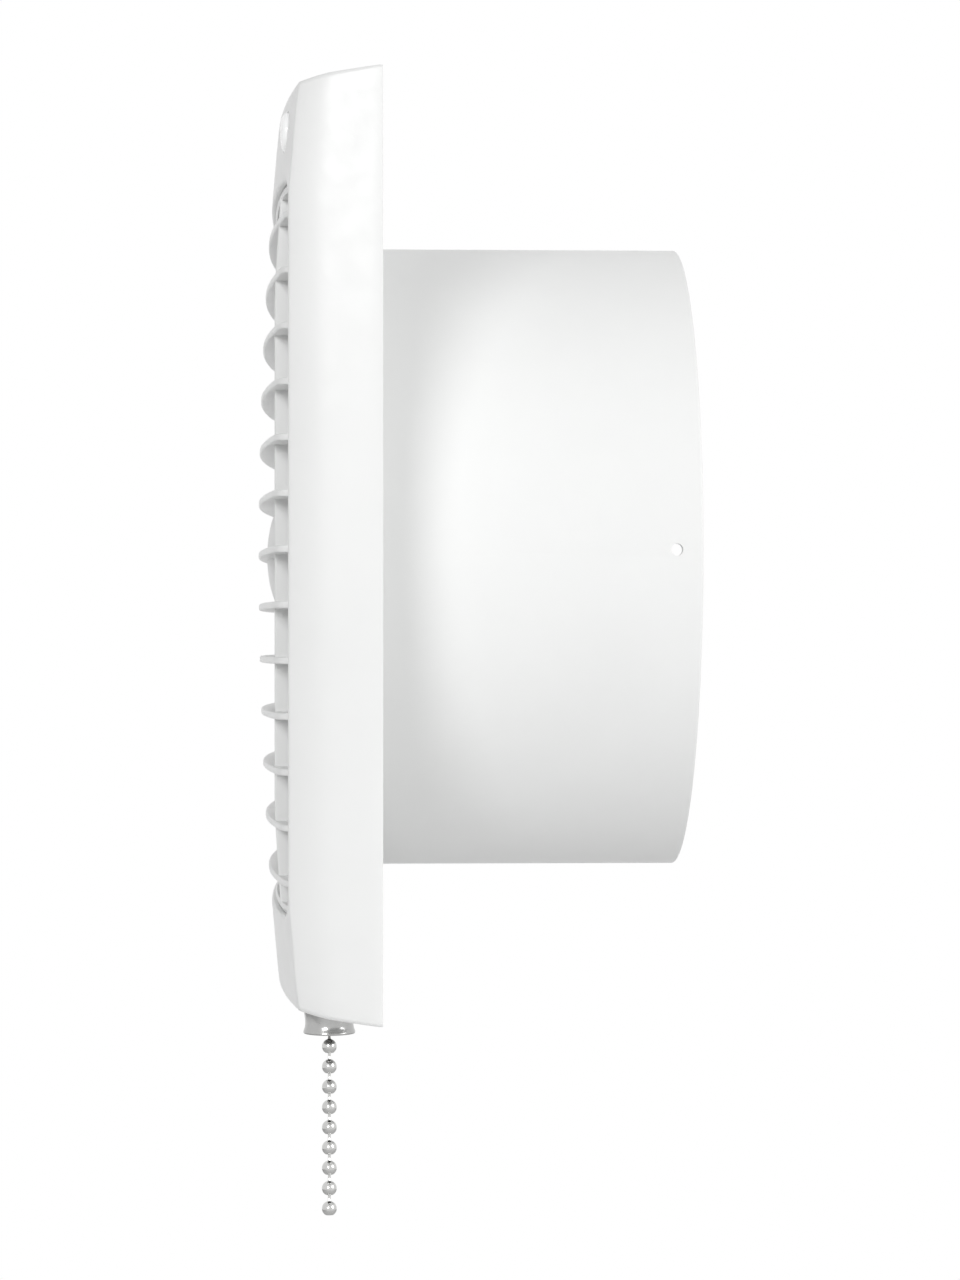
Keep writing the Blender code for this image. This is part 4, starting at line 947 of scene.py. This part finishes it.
terminals = {"rows": (-66.0, -74.0, -82.0, -90.0), "columns": (-83.2, -77.8)}
fitting = {"steps": 48, "edge": 0.25, "edgeSteps": 3, "smoothAngle": 35, "slotWide": 0.7, "crossWide": 0.8,
           "sink": 1.0, "above": 1.0}
turned = {
    "shaft": [(0, -5.0), (1.5, -5.0), (1.5, 59.0), (0, 59.0)],
    "clip": [(1.8, 56.3), (4.6, 56.3), (4.6, 57.4), (1.8, 57.4)],
    "frontBush": [(1.8, -2.6), (3.95, -2.6), (3.95, 5.4), (1.8, 5.4)],
    "rearBush": [(1.8, 26.0), (3.95, 26.0), (3.95, 31.6), (1.8, 31.6)],
    "motorScrew": [(0, -3.4), (2.4, -3.4), (3.1, -2.7), (3.1, -1.3), (1.6, -1.3), (1.6, 32.6), (0, 32.6)],
    "clampScrew": [(0, -10.4), (1.8, -10.4), (2.4, -9.8), (2.4, -8.8), (1.0, -8.8), (1.0, -3.6), (0, -3.6)],
    "terminalScrew": [(0, -12.2), (1.65, -12.2), (1.65, -8.3), (0, -8.3)],
    "coverScrew": [(0, -101.6), (3.3, -101.6), (1.5, -100.0), (1.2, -99.7), (1.2, -89.9), (0, -89.9)],
}


def recessIsland(kind, half, head, axis, centre):
    # The outline of a slot or a cross, carried from above the head to the recess's floor.
    wide = fitting[kind + "Wide"] / 2
    if kind == "slot":
        outline = np.array([(half, -wide), (half, wide), (-half, wide), (-half, -wide)])
    else:
        arm = np.array([(half, -wide), (half, wide), (wide, wide)])
        quarter = np.array([[0, 1], [-1, 0]])
        outline = np.vstack([arm @ np.linalg.matrix_power(quarter, turn) for turn in range(4)])
    column = 1 if axis == "Y" else 2
    rows = [np.insert(outline, column, height, axis=1) + centre
            for height in (head - fitting["above"], head + fitting["sink"])]
    return islandFromGrid(np.array(rows), caps=True)


def turnFitting(name, shape, node, finish, slotName, centre=(0, 0, 0), axis="Y", recess=None,
                body="housing"):
    # A named profile turned about the fitting's own axis. A recess is its kind and how far it reaches.
    closed = turned[shape][0][0] > 0  # a ring's profile starts off its axis
    profile = softProfile(turned[shape], fitting["edge"], fitting["edgeSteps"], closed=closed)
    island = turnedIsland(profile, fitting["steps"], axis, centre, closed=closed)
    piece = makeMesh(name, [island], finish, fitting["smoothAngle"])
    if recess is not None:
        kind, half = recess
        cutWith(piece, [recessIsland(kind, half, turned[shape][0][1], axis, centre)])
    place(piece, body, slotName, node)


turnFitting("shaftBar", "shaft", "motor_shaft", steel, "steel", body="rotor")
turnFitting("shaftClip", "clip", "impeller_clip", steel, "steel", body="rotor")
turnFitting("frontBush", "frontBush", "front_bush", bronze, "bronze")
turnFitting("rearBush", "rearBush", "rear_bush", bronze, "bronze")
for number, side in ((1, -1), (2, 1)):
    turnFitting("motorScrew%d" % number, "motorScrew", "motor_screw_%d" % number, steel, "steel",
                (side * carrier["screwSpacing"], 0, 0), recess=("cross", 1.8))
for number, x in enumerate(clamp["posts"], 1):
    turnFitting("clampScrew%d" % number, "clampScrew", "clamp_screw_%d" % number, steel, "steel",
                (x, 0, clamp["z"]), recess=("cross", 1.5))
terminalPlaces = [(x, 0, z) for z in terminals["rows"] for x in terminals["columns"]]
for number, centre in enumerate(terminalPlaces, 1):
    turnFitting("terminalScrew%d" % number, "terminalScrew", "terminal_screw_%d" % number, brass, "brass",
                centre, recess=("slot", 1.9))
turnFitting("coverScrew", "coverScrew", "cover_screw", steel, "steel", (0, coverScrew["y"], 0), "Z",
            recess=("cross", 1.9))
print("fittings made")


# Leads: a circle carried along the same routes as the solids

leadRoutes = {
    "motor_lead_live": [(-14.6, 5.5, -40), (-19, 2, -37), (-27, -2, -35), (-38, -2.4, -40),
                        (-49, -4.4, -50), (-56, -6.4, -56.6), (-62, -6.4, -61.5), (-68, -5.8, -65.4),
                        (-72, -5.6, -66), (-77, -5.6, -66)],
    "motor_lead_neutral": [(-14.6, 5.5, -46), (-20, 2, -43.5), (-28, -2, -40), (-37, -2.4, -43),
                           (-47.4, -4.4, -52), (-54.6, -6.4, -58.2), (-60, -6.4, -65), (-66, -5.8, -72.4),
                           (-71, -5.6, -74), (-77, -5.6, -74)],
    "switch_lead_live": [(72, -11.2, -87), (66, -11, -87), (56, -7, -86.5), (40, -4.6, -87),
                         (16, -4.6, -86.6), (0, -4.6, -85.6), (-16, -4.6, -86.6), (-40, -4.6, -89),
                         (-60, -5.2, -90), (-72, -5.6, -90), (-77, -5.6, -90)],
    "switch_lead_return": [(72, -11.2, -81), (66, -11, -81), (58, -7.4, -82), (44, -5, -83.4),
                           (20, -7.2, -84.8), (0, -7.2, -85), (-20, -7.2, -84.8), (-44, -5, -84),
                           (-62, -5.4, -82.4), (-72, -5.6, -82), (-77, -5.6, -82)],
    "lamp_lead": [(80, -6.2, 87.6), (80, -6.2, 82), (83, -6.2, 70), (91, -5.6, 50), (92, -5, 20),
                  (92, -5, -20), (91.4, -6, -50), (88, -9.6, -64), (86, -11.2, -71), (86, -11.2, -78)],
}
leadFinishes = {
    "motor_lead_live": (brownLead, "brown_insulation"),
    "motor_lead_neutral": (blueLead, "blue_insulation"),
    "switch_lead_live": (blackLead, "black_insulation"),
    "switch_lead_return": (redLead, "red_insulation"),
    "lamp_lead": (whiteLead, "white_insulation"),
}
lead = {"radius": 0.8, "sides": 16, "perStretch": 6}

for node, route in leadRoutes.items():
    finish, slotName = leadFinishes[node]
    island = sweptIsland(smoothCurve(route, lead["perStretch"]), lead["radius"], lead["sides"])
    place(makeMesh(node.replace("_", "") + "Tube", [island], finish), "housing", slotName, node)
print("leads made")


# Finishes for the solids that are shown as they are

nodeFinishes = {
    "stator_core": laminations, "coil_bobbin": bobbinNylon, "stator_coil": winding, "front_bracket": zinc,
    "rear_bracket": zinc, "rotor": aluminium, "motor_nut_1": brass, "motor_nut_2": brass,
    "terminal_block": nylon, "cable_clamp": nylon, "indicator_lamp": lampGlass, "lamp_holder": nylon,
    "switch_body": switchBlack,
}
for name, finish in nodeFinishes.items():
    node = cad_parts[name]
    if len(node.material_slots) == 0:
        node.data.materials.append(finish)
    for slot in node.material_slots:
        slot.material = finish
print("solids finished")


# Camera, floor and light

# The fitted camera in metres and radians, and the photo's focal length and height in pixels.
view = {"position": (0.8395, -0.01213, -0.02007), "turn": 0.0447, "focalPixels": 3463.16, "tall": 1280,
        "sensor": 36.0}
floorLook = {"height": -0.45, "half": 1.2, "colour": (0.90, 0.90, 0.90), "speck": 12.0, "shade": 0.01,
             "roughness": 0.8}
lampLooks = [
    {"name": "keyLight", "at": (0.95, 1.65, 0.72), "aim": (0, 0.02, 0), "size": 1.2, "power": 18.8},
    {"name": "frontFill", "at": (1.83, -0.62, 0.52), "aim": (0, 0, 0), "size": 0.7, "power": 15.2},
]
worldLook = {"ambient": 0.39, "low": 0.62, "lowAt": -1.0, "fullAt": 0.6}


def addCamera():
    # A pinhole camera fitted to the photo's corners. It looks level along -X, turned a little towards +Y.
    data = bpy.data.cameras.new("photoCamera")
    data.sensor_width = view["sensor"]
    data.lens = view["focalPixels"] * view["sensor"] / view["tall"]
    camera = bpy.data.objects.new("photoCamera", data)
    camera.location = view["position"]
    look = Vector((-math.cos(view["turn"]), math.sin(view["turn"]), 0))
    camera.rotation_euler = look.to_track_quat("-Z", "Y").to_euler()
    bpy.context.scene.collection.objects.link(camera)
    bpy.context.scene.camera = camera


def addFloor():
    # A level square well under the object, only there to bounce light.
    half, height = floorLook["half"], floorLook["height"]
    mesh = bpy.data.meshes.new("floor")
    corners = [(-half, -half, height), (half, -half, height), (half, half, height), (-half, half, height)]
    mesh.from_pydata(corners, [], [(0, 1, 2, 3)])
    floor = bpy.data.objects.new("floor", mesh)
    material, tree, shader, where = newFinish("paleFloor")
    colour = np.array(floorLook["colour"])
    speck = noiseFrom(tree, where, floorLook["speck"])
    spreadColour(tree, shader, speck, colour * (1 - floorLook["shade"]), colour)
    shader.inputs["Roughness"].default_value = floorLook["roughness"]
    mesh.materials.append(material)
    bpy.context.scene.collection.objects.link(floor)


def addLamp(look):
    # A round area lamp, turned to face its aim.
    data = bpy.data.lights.new(look["name"], "AREA")
    data.shape = "DISK"
    data.size = look["size"]
    data.energy = look["power"]
    lamp = bpy.data.objects.new(look["name"], data)
    lamp.location = look["at"]
    aim = Vector(look["aim"]) - Vector(look["at"])
    lamp.rotation_euler = aim.to_track_quat("-Z", "Y").to_euler()
    bpy.context.scene.collection.objects.link(lamp)


def addWorld():
    # The camera, mirrors and clear pieces see white. A soft ambient, weaker from below, lights the object.
    world = bpy.data.worlds.new("studio")
    world.use_nodes = True
    tree = world.node_tree
    tree.nodes.clear()
    out = tree.nodes.new("ShaderNodeOutputWorld")
    mix = tree.nodes.new("ShaderNodeMixShader")
    ambient = tree.nodes.new("ShaderNodeBackground")
    ambient.inputs["Strength"].default_value = worldLook["ambient"]
    backdrop = tree.nodes.new("ShaderNodeBackground")
    backdrop.inputs["Color"].default_value = (1, 1, 1, 1)
    backdrop.inputs["Strength"].default_value = 1.0

    where = tree.nodes.new("ShaderNodeTexCoord")
    split = tree.nodes.new("ShaderNodeSeparateXYZ")
    rise = tree.nodes.new("ShaderNodeMapRange")
    rise.inputs["From Min"].default_value = worldLook["lowAt"]
    rise.inputs["From Max"].default_value = worldLook["fullAt"]
    rise.inputs["To Min"].default_value = worldLook["low"]
    rise.inputs["To Max"].default_value = 1.0
    tree.links.new(where.outputs["Generated"], split.inputs["Vector"])
    tree.links.new(split.outputs["Z"], rise.inputs["Value"])
    tree.links.new(rise.outputs["Result"], ambient.inputs["Color"])

    rays = tree.nodes.new("ShaderNodeLightPath")
    seen = rays.outputs["Is Camera Ray"]
    for kind in ("Is Transmission Ray", "Is Glossy Ray"):
        either = tree.nodes.new("ShaderNodeMath")
        either.operation = "MAXIMUM"
        tree.links.new(seen, either.inputs[0])
        tree.links.new(rays.outputs[kind], either.inputs[1])
        seen = either.outputs["Value"]
    tree.links.new(seen, mix.inputs["Fac"])
    tree.links.new(ambient.outputs["Background"], mix.inputs[1])
    tree.links.new(backdrop.outputs["Background"], mix.inputs[2])
    tree.links.new(mix.outputs["Shader"], out.inputs["Surface"])
    bpy.context.scene.world = world


addCamera()
addFloor()
for look in lampLooks:
    addLamp(look)
addWorld()
bpy.context.scene.view_settings.view_transform = "Standard"
print("camera and light ready")
